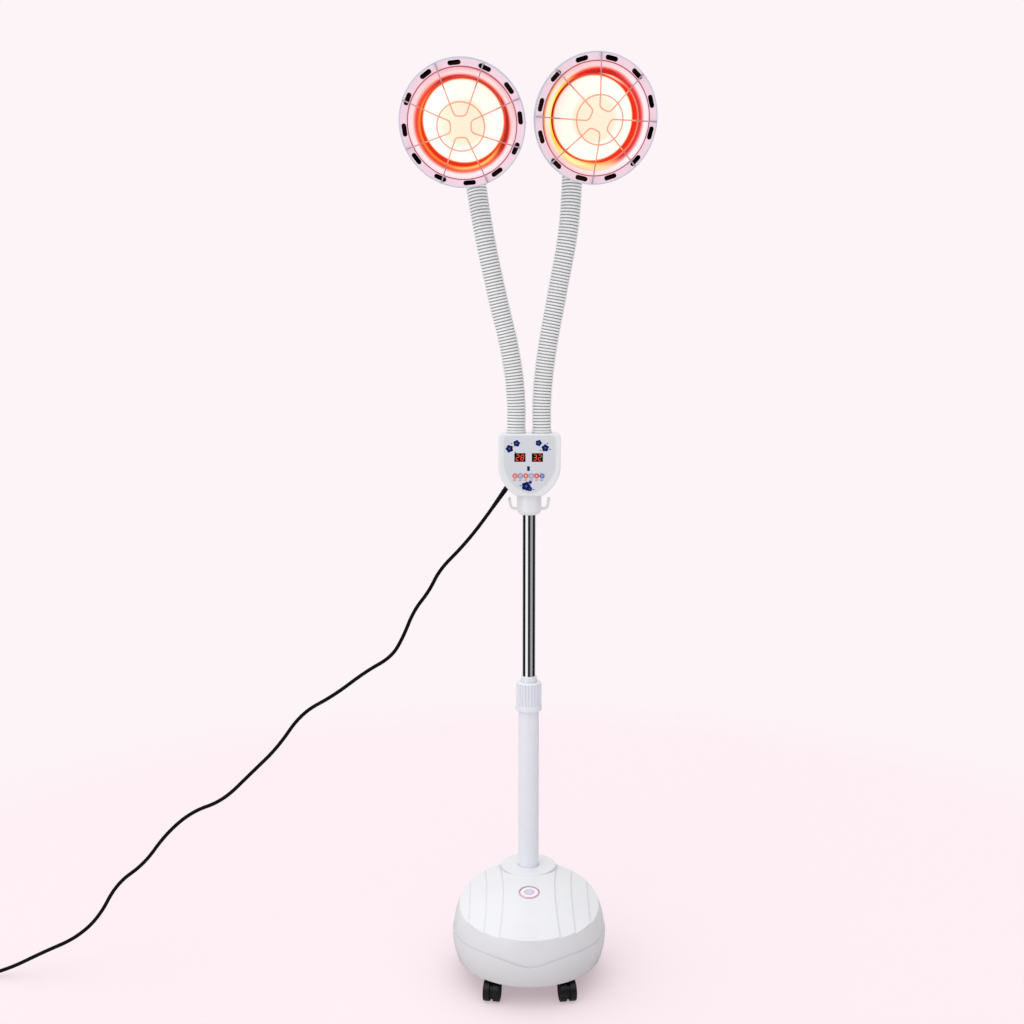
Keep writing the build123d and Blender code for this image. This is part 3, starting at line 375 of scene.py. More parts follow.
# Control points of the wound-up part: it starts at the far side, moving -X, and runs anticlockwise.
def coilPoints(cord):
    per = cord["pointsPerTurn"]
    swell = 1 / math.cos(math.pi / per)  # the spline runs inside its points
    points = []
    for index in range(int(cord["coilTurns"] * per) + 1):
        turned = 360 * index / per
        lap, within = divmod(turned, 360)
        lane = cord["coilLanes"][int(lap)]
        following = cord["coilLanes"][min(int(lap) + 1, len(cord["coilLanes"]) - 1)]
        share = max(0.0, (within - (360 - cord["laneChange"])) / cord["laneChange"])
        share = share * share * (3 - 2 * share)
        radius = (lane[0] + (following[0] - lane[0]) * share) * swell
        height = lane[1] + (following[1] - lane[1]) * share
        angle = math.radians(90 + turned)
        points.append((cord["coilCentre"][0] + radius * math.cos(angle),
                       cord["coilCentre"][1] + radius * math.sin(angle), height))
    return points


def nurbsCurve(name, points, bevel):
    curve = bpy.data.curves.new(name, "CURVE")
    curve.dimensions = "3D"
    spline = curve.splines.new("NURBS")
    spline.points.add(len(points) - 1)
    for knot, (x, y, z) in zip(spline.points, points):
        knot.co = (x * mm, y * mm, z * mm, 1)
    spline.order_u = 3
    spline.use_endpoint_u = True
    spline.resolution_u = 8
    curve.bevel_depth = bevel * mm
    curve.bevel_resolution = 5
    curve.use_fill_caps = bevel > 0
    return linkObject(name, curve)


def meshOf(holder):
    graph = bpy.context.evaluated_depsgraph_get()
    return bpy.data.meshes.new_from_object(holder.evaluated_get(graph), depsgraph=graph)


# Mesh of a curve, which is removed.
def meshOfCurve(holder):
    mesh, curve = meshOf(holder), holder.data
    bpy.data.objects.remove(holder)
    bpy.data.curves.remove(curve)
    return mesh


cordPoints = cordRoute["points"] + coilPoints(cordRoute) + cordRoute["tail"]
cordPath = [tuple(v.co) for v in meshOfCurve(nurbsCurve("cordLine", cordPoints, 0)).vertices]
cordMesh = meshOfCurve(nurbsCurve("cordShape", cordPoints, cordRoute["radius"]))
for face in cordMesh.polygons:
    face.use_smooth = True
powerCord = linkPiece("powerCord", cordMesh, plain["cord_pvc"])
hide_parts("cord_tube", "cord_coil")
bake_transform(powerCord)

glandShape = {"length": 30.0, "tip": 3.3, "root": 4.1, "ribs": 6, "groove": 0.25, "back": 12.0}
plugReliefShape = {"length": 24.0, "tip": 3.9, "root": 6.0, "ribs": 5, "groove": 0.9, "back": 3.0}
reliefCut = {"first": 0.7, "in": 0.5, "along": 1.6, "out": 2.1}  # in steps, then mm from a cut's start
reliefBore = cordRoute["radius"] + 0.05


# Tapered boot with cut rings, mm: from the cord's side to the housing.
def reliefProfile(shape):
    profile = [(reliefBore, 0.0), (shape["tip"], 0.0)]
    step = shape["length"] / (shape["ribs"] + 1)
    for rib in range(shape["ribs"]):
        at = step * (rib + reliefCut["first"])
        full = shape["tip"] + (shape["root"] - shape["tip"]) * at / shape["length"]
        low = full - shape["groove"]
        profile += [(full, at), (low, at + reliefCut["in"]), (low, at + reliefCut["along"]),
                    (full, at + reliefCut["out"])]
    end = shape["length"] + shape["back"]
    return profile + [(shape["root"], shape["length"]), (shape["root"], end), (reliefBore, end)]


glandTip = mmVector(*cordRoute["points"][0])
glandPlace = axisFrame(glandTip, glandTip - mmVector(*cordRoute["points"][1]))
cordRelief = lathe("cordStrainRelief", reliefProfile(glandShape), glandPlace, plain["cord_pvc"], closed=True)
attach(cordRelief, "upper")
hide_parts("cord_gland")

plugShape = {
    "start": (-996.3, -85.0, 6.85),
    "relief": 24.0,
    "section": (35.0, 13.7),  # width, height
    "corner": 5.0,
    "pinRadius": 2.0,
    "pinLength": 19.0,
    "pinPitch": 18.6,
    "pinRoot": 2.0,  # in the body
    "pinTip": (1.2, 0.9),  # the taper's length and depth
    # mm along the body, share of its full section
    "ends": [(0.0, 0.93), (1.5, 1.0), (34.5, 1.0), (36.0, 0.95)],
    "gripRibs": 6,
    "firstRib": 5.0,
    "ribPitch": 3.6,
    "rib": [(0.0, 1.0), (0.8, 0.93), (2.0, 0.93), (2.8, 1.0)],  # mm along a rib, share of the full width
}


def roundedOutline(width, height, corner, steps=6):
    outline = []
    for centreX, centreY, start in ((1, 1, 0), (-1, 1, 90), (-1, -1, 180), (1, -1, 270)):
        for step in range(steps + 1):
            angle = math.radians(start + 90 * step / steps)
            outline.append((centreX * (width / 2 - corner) + corner * math.cos(angle),
                            centreY * (height / 2 - corner) + corner * math.sin(angle)))
    return outline


# Moulded plug body: a waisted grip with finger ribs between its rounded ends.
def plugSections(shape):
    width, height = shape["section"]
    ends = [(shape["relief"] + at, roundedOutline(width * share, height * share, shape["corner"] * share))
            for at, share in shape["ends"]]
    grip = [(shape["relief"] + shape["firstRib"] + rib * shape["ribPitch"] + shift,
             roundedOutline(width * share, height * (share + 1) / 2, shape["corner"]))
            for rib in range(shape["gripRibs"]) for shift, share in shape["rib"]]
    return ends[:2] + grip + ends[2:]


plugPlace = axisFrame(mmVector(*plugShape["start"]), (0, -1, 0))
plugBody = loftPiece("plugBody", [plugSections(plugShape)], plugPlace, plain["cord_pvc"])
plugRelief = lathe("plugStrainRelief", reliefProfile(plugReliefShape), plugPlace, plain["cord_pvc"],
                   closed=True)
pinBase = plugShape["relief"] + plugShape["ends"][-1][0]
pinRoot, pinEnd = pinBase - plugShape["pinRoot"], pinBase + plugShape["pinLength"]
pinRadius = plugShape["pinRadius"]
tipLength, tipDepth = plugShape["pinTip"]
pinProfile = [(0.0, pinRoot), (pinRadius, pinRoot), (pinRadius, pinEnd - tipLength),
              (pinRadius - tipDepth, pinEnd), (0.0, pinEnd)]
pins = []
for number, side in ((1, -1), (2, 1)):
    pinPlace = plugPlace @ Matrix.Translation(mmVector(side * plugShape["pinPitch"] / 2, 0, 0))
    pins.append(lathe(f"plugPin{number}", pinProfile, pinPlace, plain["nickel"], 24))
for piece in [plugBody, plugRelief] + pins:
    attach(piece, "swivel")
    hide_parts("plug")

print("cord, strain reliefs and plug made")


# Goosenecks: corrugated tubes, one mesh for each hinge.

neckRings = {
    "Ring Pitch": 4.85 * mm,
    "Radius": 15.75 * mm,
    "Swell": 0.9 * mm,  # grows towards the head
    "Groove Depth": 1.9 * mm,
    "Samples Per Ring": 10,
    "Points Around": 40,
    "Skin": plain["neck_skin"],
}
neckShape = {
    "sharpness": 4.0,  # higher makes the grooves narrower
    "bendReach": 38.0,
    "leanSamples": 4,  # on each side of a station, for the way the neck runs there
    "stations": {
        "left": [(-21.4, 69, 932), (-29.5, 68, 1003), (-52.0, 66, 1102), (-73.5, 63, 1205)],
        "right": [(20.2, 69, 932), (26.5, 68, 1003), (43.5, 66, 1102), (61.0, 63, 1205)],
    },
    "foot": 886.5,
    "footY": 69.0,
    "headEnd": (0.0, -74.5, -118.0),  # where it meets its head, in the head's own frame
    "boxTop": 882.5,
    # threaded foot ring where the neck screws on: radius and height over the box
    "footRing": [(13.0, 0.2), (16.2, 0.2), (16.6, 0.7), (16.6, 3.3), (15.9, 4.2), (13.0, 4.2)],
}
headPlaces = {
    "left": {"centre": (-100.5, -62.0, 1339.0), "yaw": -4.0, "pitch": 22.0},
    "right": {"centre": (95.0, -62.0, 1346.0), "yaw": 12.0, "pitch": 14.0},
}


# Matrix of a head: X to its right, Y up, Z out of its mouth, origin at the flange's front.
def headFrame(side):
    place = headPlaces[side]
    yaw, pitch = math.radians(place["yaw"]), math.radians(place["pitch"])
    facing = Vector((math.sin(yaw) * math.cos(pitch), -math.cos(yaw) * math.cos(pitch), -math.sin(pitch)))
    return axisFrame(mmVector(*place["centre"]), facing, (math.cos(yaw), math.sin(yaw), 0))


# Geometry Nodes group with the named inputs, each with its default number or, where it has none, its kind.
def newTree(name, inputs):
    tree = bpy.data.node_groups.new(name, "GeometryNodeTree")
    for label, given in {"Geometry": "Geometry", **inputs}.items():
        kind = {float: "Float", int: "Int"}.get(type(given), given)
        socket = tree.interface.new_socket(label, in_out="INPUT", socket_type=f"NodeSocket{kind}")
        if kind != given:
            socket.default_value = given
    tree.interface.new_socket("Geometry", in_out="OUTPUT", socket_type="NodeSocketGeometry")
    add = partial(addNode, tree)
    return tree, add, add("NodeGroupInput").outputs


def closeTree(add, geometry, material):
    real = add("GeometryNodeRealizeInstances", {"Geometry": geometry})
    dressed = add("GeometryNodeSetMaterial", {"Geometry": real, "Material": material})
    add("NodeGroupOutput", {"Geometry": dressed})


# Runs a tree on a mesh and returns its result as a plain mesh object.
def pieceFromTree(name, tree, values, start=None):
    carrier = linkObject(name + "Carrier", start or bpy.data.meshes.new(name + "Start"))
    modifier = carrier.modifiers.new(tree.name, "NODES")
    modifier.node_group = tree
    sockets = {item.name: item.identifier for item in tree.interface.items_tree if item.in_out == "INPUT"}
    for label, value in values.items():
        modifier[sockets[label]] = value
    mesh = meshOf(carrier)
    bpy.data.objects.remove(carrier)
    return linkPiece(name, mesh)


def makeNeckTree():
    tree, add, given = newTree("corrugatedNeck", {
        "Path": "Object", "Ring Pitch": 0.005, "Radius": 0.016, "Swell": 0.001, "Groove Depth": 0.002,
        "Samples Per Ring": 10, "Points Around": 40, "First Sample": 0, "Last Sample": 100000,
        "Skin": "Material",
    })
    path = add("GeometryNodeObjectInfo", {"Object": given["Path"]}).outputs["Geometry"]
    step = add("Math", {0: given["Ring Pitch"], 1: given["Samples Per Ring"]}, operation="DIVIDE")
    fine = add("GeometryNodeResampleCurve", {"Curve": path, "Length": step}, mode="LENGTH")
    along = add("GeometryNodeSplineParameter").outputs
    # the groove's depth follows a sharpened cosine of the way along, once in each ring
    phase = add("Math", {0: along["Length"], 1: given["Ring Pitch"]}, operation="DIVIDE")
    angle = add("Math", {0: phase, 1: math.pi}, operation="MULTIPLY")
    wave = add("Math", {0: angle}, operation="COSINE")
    size = add("Math", {0: wave}, operation="ABSOLUTE")
    narrow = add("Math", {0: size, 1: neckShape["sharpness"]}, operation="POWER")
    cut = add("Math", {0: narrow, 1: given["Groove Depth"]}, operation="MULTIPLY")
    grown = add("Math", {0: along["Factor"], 1: given["Swell"], 2: given["Radius"]},
                operation="MULTIPLY_ADD")
    reach = add("Math", {0: grown, 1: cut}, operation="SUBTRACT")
    index = add("GeometryNodeInputIndex")
    marked = add("GeometryNodeStoreNamedAttribute", {"Name": "ring", "Geometry": fine, "Value": index},
                 data_type="INT", domain="POINT")
    grooved = add("GeometryNodeStoreNamedAttribute",
                  {"Name": "groove", "Geometry": marked, "Value": narrow}, data_type="FLOAT",
                  domain="POINT")
    profile = add("GeometryNodeCurvePrimitiveCircle", {"Radius": 1.0, "Resolution": given["Points Around"]})
    skin = add("GeometryNodeCurveToMesh", {"Curve": grooved, "Profile Curve": profile, "Scale": reach})
    # only the samples of one section stay
    ring = add("GeometryNodeInputNamedAttribute", {"Name": "ring"}, data_type="INT")
    below = add("FunctionNodeCompare", {2: ring, 3: given["First Sample"]}, data_type="INT",
                operation="LESS_THAN")
    above = add("FunctionNodeCompare", {2: ring, 3: given["Last Sample"]}, data_type="INT",
                operation="GREATER_THAN")
    outside = add("FunctionNodeBooleanMath", {0: below, 1: above}, operation="OR")
    part = add("GeometryNodeDeleteGeometry", {"Geometry": skin, "Selection": outside}, domain="POINT")
    smooth = add("GeometryNodeSetShadeSmooth", {"Geometry": part})
    closeTree(add, smooth, given["Skin"])
    return tree


def neckCurve(name, points):
    curve = bpy.data.curves.new(name, "CURVE")
    curve.dimensions = "3D"
    spline = curve.splines.new("BEZIER")
    spline.bezier_points.add(len(points) - 1)
    spline.resolution_u = 24
    for knot, point in zip(spline.bezier_points, points):
        knot.co = point
        knot.handle_left_type = knot.handle_right_type = "AUTO"
    return linkObject(name, curve)


# Centres of a neck's rings of points, from the foot to the head.
def ringCentres(path):
    whole = pieceFromTree("neckWhole", neckTree, {**neckRings, "Path": path})
    around = neckRings["Points Around"]
    centres = []
    for first in range(0, len(whole.data.vertices), around):
        ringPoints = whole.data.vertices[first:first + around]
        centres.append(sum((v.co for v in ringPoints), Vector()) / around)
    bpy.data.objects.remove(whole)
    return centres


neckTree = makeNeckTree()
for side, stations in neckShape["stations"].items():
    marks = [mmVector(*station) for station in stations]
    foot = mmVector(stations[0][0], neckShape["footY"], neckShape["foot"])
    neckEnd = headFrame(side) @ mmVector(*neckShape["headEnd"])
    path = neckCurve(f"neckPath_{side}", [foot] + marks + [neckEnd])
    centres = ringCentres(path)
    halves = [(a + b) / 2 for a, b in zip(marks, marks[1:])]
    cuts = [0] + [min(range(len(centres)), key=lambda i: (centres[i] - half).length) for half in halves]
    cuts.append(len(centres) - 1)
    for number, station in enumerate(marks):
        ends = {"First Sample": cuts[number], "Last Sample": cuts[number + 1]}
        piece = pieceFromTree(f"neck_{side}_section_{number + 1}", neckTree,
                              {**neckRings, "Path": path, **ends})
        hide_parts(f"neck_{side}_{number + 1}")
        if number == 0:
            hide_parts("neck_roots")
        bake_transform(piece)
    bpy.data.objects.remove(path)
    footPlace = Matrix.Translation(mmVector(stations[0][0], neckShape["footY"], neckShape["boxTop"]))
    ring = lathe(f"neck_{side}_foot", neckShape["footRing"], footPlace, plain["white_abs"], closed=True)
    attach(ring, "upper")
    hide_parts("neck_roots")
print("goosenecks made")


# Heads: the glow is painted by the distance from each head's own axis.

headGlow = {
    "shade": 92.5,
    "bulb": 62.5,
    "mouth": 0.856,  # share of the shade's radius where the bowl meets the flange
    "strength": {"bowl": 0.5, "glass": 0.22, "wire": 0.2},
    "lean": {"left": (0.111, 0.202), "right": (-0.28, 0.05)},  # sideways and upwards per depth
    # colour by share of the shade's radius: the flange is the same all round, the bowl differs. Painted
    # light: the bowl's colours stand for the bulb's light on it, and the dark red ring from 0.859 to 0.868
    # is painted shade at the step where the bowl meets the flange.
    "flange": {0.84: "#EAD3DA", 0.852: "#E0C4CE", 0.859: "#AC3754", 0.868: "#AC3754", 0.876: "#FCDCEA",
               0.95: "#FBDAE9", 0.972: "#F2DFEE", 0.984: "#D5D2E1", 1.0: "#C6C6D5"},
    "bowl": {
        "dark": {0.0: "#E8501C", 0.655: "#C0220A", 0.672: "#C82C10", 0.682: "#E88226", 0.694: "#DC601C",
                 0.706: "#A41E0A", 0.735: "#8A1610", 0.752: "#9A241E", 0.766: "#D85850", 0.785: "#F2C8CA",
                 0.8: "#F2E4EA"},
        "orange": {0.0: "#E0501C", 0.655: "#C4260A", 0.67: "#CC3A0E", 0.682: "#F49A28", 0.7: "#F08C2E",
                   0.713: "#CC4A24", 0.735: "#CC4838", 0.755: "#E27468", 0.772: "#F2B8B4",
                   0.795: "#F2E2E8"},
        "amber": {0.0: "#E83008", 0.655: "#C81A04", 0.672: "#DC3C0A", 0.684: "#FBBE4A", 0.703: "#FFE292",
                  0.717: "#F6AC54", 0.732: "#DA6C3C", 0.75: "#D86A5A", 0.768: "#F0A8A2", 0.79: "#F2E0E6"},
        "rose": {0.0: "#E83008", 0.655: "#CC2A0A", 0.675: "#DC4A1C", 0.686: "#F2AC92", 0.698: "#C84A46",
                 0.722: "#B02C30", 0.745: "#D4585A", 0.765: "#EE9C9E", 0.783: "#F0D2D6", 0.8: "#F2E4EA"},
        "deep": {0.0: "#E01004", 0.66: "#EE6A3C", 0.672: "#FFF0E0", 0.692: "#FBD8C4", 0.703: "#B61208",
                 0.716: "#A60602", 0.748: "#A40402", 0.765: "#D02A20", 0.78: "#F0827A", 0.8: "#F0DCE2"},
        "yellow": {0.0: "#E01408", 0.65: "#C40A02", 0.695: "#D01402", 0.712: "#F8921A", 0.728: "#FFCC20",
                   0.768: "#FFD81E", 0.785: "#FFDC5A", 0.793: "#F4D8BC", 0.801: "#F2DEDE", 0.82: "#EEDCE4"},
        "cream": {0.0: "#E01408", 0.65: "#C40A02", 0.672: "#D01A06", 0.684: "#F6A43C", 0.703: "#FBD68E",
                  0.74: "#FFF2BC", 0.772: "#FBE2B4", 0.79: "#F8D0B4", 0.803: "#F2DCDC", 0.82: "#EEDCE4"},
    },
    # a ramp for most of the bowl, then ramps over it: the way each lies, how close it starts, and is full
    "patches": {
        "left": ["dark", ("orange", (-0.97, -0.2, 0.0), 0.1, 0.6), ("amber", (0.3, -0.95, 0.0), 0.72, 1.0)],
        "right": ["rose", ("deep", (-0.2, 0.98, 0.0), 0.6, 0.9), ("yellow", (-0.93, -0.36, 0.0), 0.1, 0.6),
                  ("cream", (-0.2, -0.98, 0.0), 0.62, 0.98)],
    },
    "glass": {0.0: "#FBE9D2", 0.5: "#FBEAD0", 0.57: "#FFFAEE", 0.925: "#FFFFF2", 0.94: "#FFEFC8",
              0.952: "#F4A070", 0.965: "#EC6A3C", 0.98: "#C81E08", 1.0: "#B81204"},
    "wire": {0.0: "#EEA48A", 0.58: "#EEA48C", 0.64: "#CE7A6C", 0.7: "#BA7274", 0.78: "#B8929C",
             0.86: "#AA98A4", 1.0: "#A09AA6"},
}
# Painted shade, black, that shows through the slots: on the bowl's outside up to a share of the shade's
# radius, and in the housing as far as a plane that leans to the neck's boss.
slotShade = {
    "colour": "#060505",
    "outward": 0.0005,  # how far out a face of the bowl must look
    "bowl": 0.85,
    "plane": (0.0, 0.5, 1.0),
    "planeAt": -0.118,  # m
}


# Ramps over the distance from a head's axis, 0 at the axis and 1 at the radius in mm. The glow can lean: the
# rings down in the bowl then lie off the axis, as the bulb's light falls on it.
def radialRamps(add, side, radius, ramps, lean=(0.0, 0.0)):
    turned = headFrame(side).inverted()
    local = add("Mapping",
                {"Vector": add("TexCoord").outputs["Object"], "Location": turned.to_translation(),
                 "Rotation": turned.to_euler()})
    depth = add("SeparateXYZ", {"Vector": local}).outputs["Z"]
    shift = add("VectorMath", {0: lean + (0.0,), "Scale": depth}, operation="SCALE")
    leaning = add("VectorMath", {0: local, 1: shift}, operation="SUBTRACT")
    across = add("VectorMath", {0: leaning, 1: (1, 1, 0)}, operation="MULTIPLY")
    distance = add("VectorMath", {0: across}, operation="LENGTH")
    share = add("Math", {0: distance, 1: radius * mm}, operation="DIVIDE")
    return across, local, [colourRamp(add, share, stops) for stops in ramps]


# Positive where a face of a head looks away from the head's axis.
def outwardness(add, side, across):
    normal = add("TexCoord").outputs["Normal"]
    facing = add("Mapping", {"Vector": normal, "Rotation": headFrame(side).inverted().to_euler()},
                 vector_type="VECTOR")
    return add("VectorMath", {0: across, 1: facing}, operation="DOT_PRODUCT")


# Paints shade: the faces for which both comparisons hold are made black and dull, (operation, limit, value)
# each.
def paintSlotShade(add, shader, colour, comparisons):
    holds = [add("Math", {0: value, 1: limit}, operation=operation)
             for operation, limit, value in comparisons]
    both = add("Math", {0: holds[0], 1: holds[1]}, operation="MULTIPLY")
    blend = add("Mix", {0: both, 6: colour, 7: slotShade["colour"]}, data_type="RGBA")
    shine = shader.inputs["Specular IOR Level"].default_value
    dull = add("Math", {0: both, 1: -shine, 2: shine}, operation="MULTIPLY_ADD")
    fillInputs(shader, {"Base Color": blend, "Specular IOR Level": dull})
    return blend


# Stoved enamel inside and out: pinkish white, glossy. Painted light: the bowl is painted red and made to
# glow round the bulb, for the bulb's light on it, and fades outwards; behind the slots its outside is
# painted shade, black.
def makeShadeEnamel(side):
    material, add, shader = newMaterial(f"stovedEnamel_{side}", ["#F6E6EE"], (0.2, 0.32), 2.2, 0.003,
                                        coat=0.1, specular=0.35)
    radius = headGlow["shade"]
    most, *patches = headGlow["patches"][side]
    names = [most] + [patch[0] for patch in patches]
    across, local, ramps = radialRamps(add, side, radius,
                                       [{**headGlow["bowl"][name], **headGlow["flange"]} for name in names],
                                       headGlow["lean"][side])
    unit = add("VectorMath", {0: across}, operation="NORMALIZE")
    colour = ramps[0]
    for (name, way, start, full), ramp in zip(patches, ramps[1:]):
        near = add("VectorMath", {0: unit, 1: way}, operation="DOT_PRODUCT")
        share = add("MapRange", {"Value": near, "From Min": start, "From Max": full},
                    interpolation_type="SMOOTHSTEP")
        colour = add("Mix", {0: share, 6: colour, 7: ramp}, data_type="RGBA")
    reach = add("VectorMath", {0: across}, operation="LENGTH")
    # painted shade: the bowl's outside, seen through the slots, is made black and dull
    colour = paintSlotShade(add, shader, colour,
                        [("GREATER_THAN", slotShade["outward"], outwardness(add, side, across)),
                         ("LESS_THAN", slotShade["bowl"] * radius * mm, reach)])
    # painted light: the bowl glows though it is no lamp, only inside its mouth
    within = add("Math", {0: reach, 1: headGlow["mouth"] * radius * mm}, operation="LESS_THAN")
    glow = add("VectorMath", {0: colour, "Scale": within}, operation="SCALE")
    fillInputs(shader, {"Emission Color": glow, "Emission Strength": headGlow["strength"]["bowl"]})
    return material


# Paints a material by the distance from its head's axis, with light of its own.
def glowing(side, name, radius, made):
    material, add, shader = made
    colour = radialRamps(add, side, radius, [headGlow[name]])[2][0]
    fillInputs(shader, {"Base Color": colour, "Emission Color": colour,
                        "Emission Strength": headGlow["strength"][name]})
    return material


# Lit reflector bulb, frosted face: a blinding cream-white disc, red where it turns to its silvered side.
def makeBulbGlass(side):
    return glowing(side, "glass", headGlow["bulb"],
                   newMaterial(f"litFrostedGlass_{side}", ["#FFF6E4"], [0.15]))


# Chromed guard wire with painted light: orange over the glass, where the bulb lights it from behind, a glow
# of its own, and pale metal over the flange.
def makeGuardWire(side):
    made = newMaterial(f"chromedGuardWire_{side}", ["#B8A8B0"], [0.3], metallic=0.2)
    return glowing(side, "wire", headGlow["shade"], made)


# Bell behind the shade: white outside, and inside painted shade, black, that shows through the slots,
# but not on the bell's end nor on the neck's boss under it, whose own faces look towards the axis.
def makeHousingAbs(side):
    material, add, shader = newMaterial(f"paintedShadeAbs_{side}", **absPeel)
    plainColour = shader.inputs["Base Color"].links[0].from_socket
    across, local = radialRamps(add, side, headGlow["shade"], [])[:2]
    front = add("VectorMath", {0: local, 1: slotShade["plane"]}, operation="DOT_PRODUCT")
    paintSlotShade(add, shader, plainColour,
               [("LESS_THAN", 0.0, outwardness(add, side, across)),
                ("GREATER_THAN", slotShade["planeAt"], front)])
    return material


# Lacquered badge disc: lilac centre, white band, pink rim, satin.
badgeRings = {0.0: "#E4DAEA", 0.3: "#DED2E4", 0.44: "#D2C0DA", 0.52: "#EEE4F2", 0.6: "#FBF6FA",
              0.8: "#FBF4F8", 0.86: "#F2D6E4", 0.93: "#D8A2BE", 1.0: "#C084A6"}


def makeBadgeLacquer():
    material, add, shader = newMaterial("satinLilacBadge", ["#EFDDE8"], (0.25, 0.4), 2.0, 0.02, coat=0.4)
    corners = [nodes["badge"].matrix_world @ Vector(corner) for corner in nodes["badge"].bound_box]
    coordinates = add("TexCoord").outputs["Object"]
    away = add("VectorMath", {0: coordinates, 1: sum(corners, Vector()) / len(corners)},
               operation="DISTANCE")
    share = add("Math", {0: away, 1: (corners[6] - corners[0]).x / 2}, operation="DIVIDE")
    fillInputs(shader, {"Base Color": colourRamp(add, share, badgeRings)})
    return material


# Dress every CAD node that stays.

def dress(nodeName, material):
    node = nodes[nodeName]
    if not node.material_slots:
        node.data.materials.append(material)
    for slot in node.material_slots:
        slot.material = material


finishes = {
    "white_abs": ["base_cover", "collet", "hook_collar", "cord_hooks", "box_front", "box_rear"],
    "nut_abs": ["clamp_nut"],
    "dark_steel": ["base_plate", "mast_flange"],
    "iron": ["base_weight"],
    "nylon": ["caster_sockets", "guide_bush"],
    "wheel": [f"caster_{part}_{number}" for part in ("fork", "wheels") for number in range(1, 6)],
    "steel": ["base_fasteners", "box_screws"],
    "outer_paint": ["outer_tube"],
    "chrome": ["inner_tube"],
    "overlay": ["panel_overlay"],
    "display": ["displays"],
    "ir_filter": ["ir_window"],
    "board": ["circuit_board"],
    "key_red": ["key_1", "key_3", "key_5"],
    "key_grey": ["key_2"],
    "key_lilac": ["key_4"],
    "key_blue": ["key_6"],
    "ceramic": ["lamp_socket_left", "lamp_socket_right"],
}
for finish, nodeNames in finishes.items():
    for nodeName in nodeNames:
        dress(nodeName, plain[finish])
headFinishes = {
    "shade": makeShadeEnamel,
    "bulb": makeBulbGlass,
    "guard": makeGuardWire,
    "rear_housing": makeHousingAbs,
}
for nodeName, makeMaterial in headFinishes.items():
    for side in headPlaces:
        dress(f"{nodeName}_{side}", makeMaterial(side))
dress("badge", makeBadgeLacquer())
print("CAD nodes dressed")


# Control panel prints: digits, blossoms, key signs.

panel = {
    "front": 40.2,  # y of the film's face, mm
    "digitSize": (4.4, 8.4),
    "digitStroke": 0.66,
    "digitSlant": 0.1,
    "digitPitch": 7.6,
    "digitGap": 0.18,  # between a segment's tip and the corner
    "glow": 0.95,
    "glowCloud": 1.5,  # mm
    "displays": {"28": (-15.2, 844.8), "32": (12.6, 844.8)},
    "printDepth": 0.12,
}
segmentsOf = {"2": "abged", "3": "abgcd", "8": "abcdefg"}


# Lit bar with pointed tips. Its ends are complex numbers, across and up from the figure's middle.
def segmentOutline(start, end):
    way = (end - start) / abs(end - start)
    tip, gap = way * panel["digitStroke"] / 2, way * panel["digitGap"]
    start, end, aside = start + gap, end - gap, tip * 1j
    return [start, start + tip - aside, end - tip - aside, end, end - tip + aside, start + tip + aside]


# Seven-segment figure: outlines of its lit segments.
def figureOutlines(figure, x, z):
    right, top = panel["digitSize"][0] / 2, panel["digitSize"][1] / 2 * 1j
    bars = {
        "a": (top - right, top + right), "b": (top + right, right), "c": (right, right - top),
        "d": (-right - top, right - top), "e": (-right, -right - top), "f": (top - right, -right),
        "g": (-right, right),
    }
    return [[(x + point.real + point.imag * panel["digitSlant"],
              z + point.imag) for point in segmentOutline(*bars[key])] for key in segmentsOf[figure]]


# Red light-emitting segments behind smoked acrylic: saturated orange-red, even glow.
def makeLedRed():
    material, add, shader = newMaterial("litRedSegment", ["#FF4A2E"], [0.4])
    coordinates = add("TexCoord").outputs["Object"]
    cloud = add("TexNoise", {"Vector": coordinates, "Scale": 1 / (panel["glowCloud"] * mm)})
    glow = colourRamp(add, cloud, {0.3: "#FF3A22", 0.7: "#FF6A48"})
    fillInputs(shader, {"Emission Color": glow, "Emission Strength": panel["glow"]})
    return material


# Drawing plane on the front of the box: X to the right, Y up, Z towards the user.
def panelPlace(y):
    return Matrix(((1, 0, 0, 0), (0, 0, -1, y * mm), (0, 1, 0, 0), (0, 0, 0, 1)))


digitOutlines = []
for figures, (x, z) in panel["displays"].items():
    for index, figure in enumerate(figures):
        digitOutlines += figureOutlines(figure, x + (index - 0.5) * panel["digitPitch"], z)
digits = flatPiece("displayDigits", digitOutlines, panelPlace(panel["front"]), panel["printDepth"],
                   makeLedRed())
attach(digits, "upper")

blossomShape = {
    "petals": 5,
    "petal": (3.7, 3.5),  # length and width
    "vein": (1.5, 0.5),
    "leaf": (1.6, 0.55),
    "petalPoints": 18,
    "petalOut": 0.55,  # from the flower's middle, share of its length
    # x, z on the box in mm, size, turn
    "places": [(-20.4, 867.3, 1.41, 10), (-31.8, 858.8, 1.59, 40), (14.5, 867.9, 1.33, 70),
               (25.0, 860.0, 1.54, 20), (-5.3, 798.9, 1.92, 0), (0.6, 794.6, 1.03, 30),
               (1.3, 805.3, 0.77, 50)],
    "leaves": [(-30.3, 866.9, 2.0, 0), (-23.5, 854.4, 2.2, -50), (27.2, 866.0, 2.2, 40),
               (19.3, 857.0, 2.0, 200), (31.0, 858.6, 2.2, -20), (-12.2, 799.7, 2.2, 175),
               (4.4, 794.2, 2.2, -10)],
}


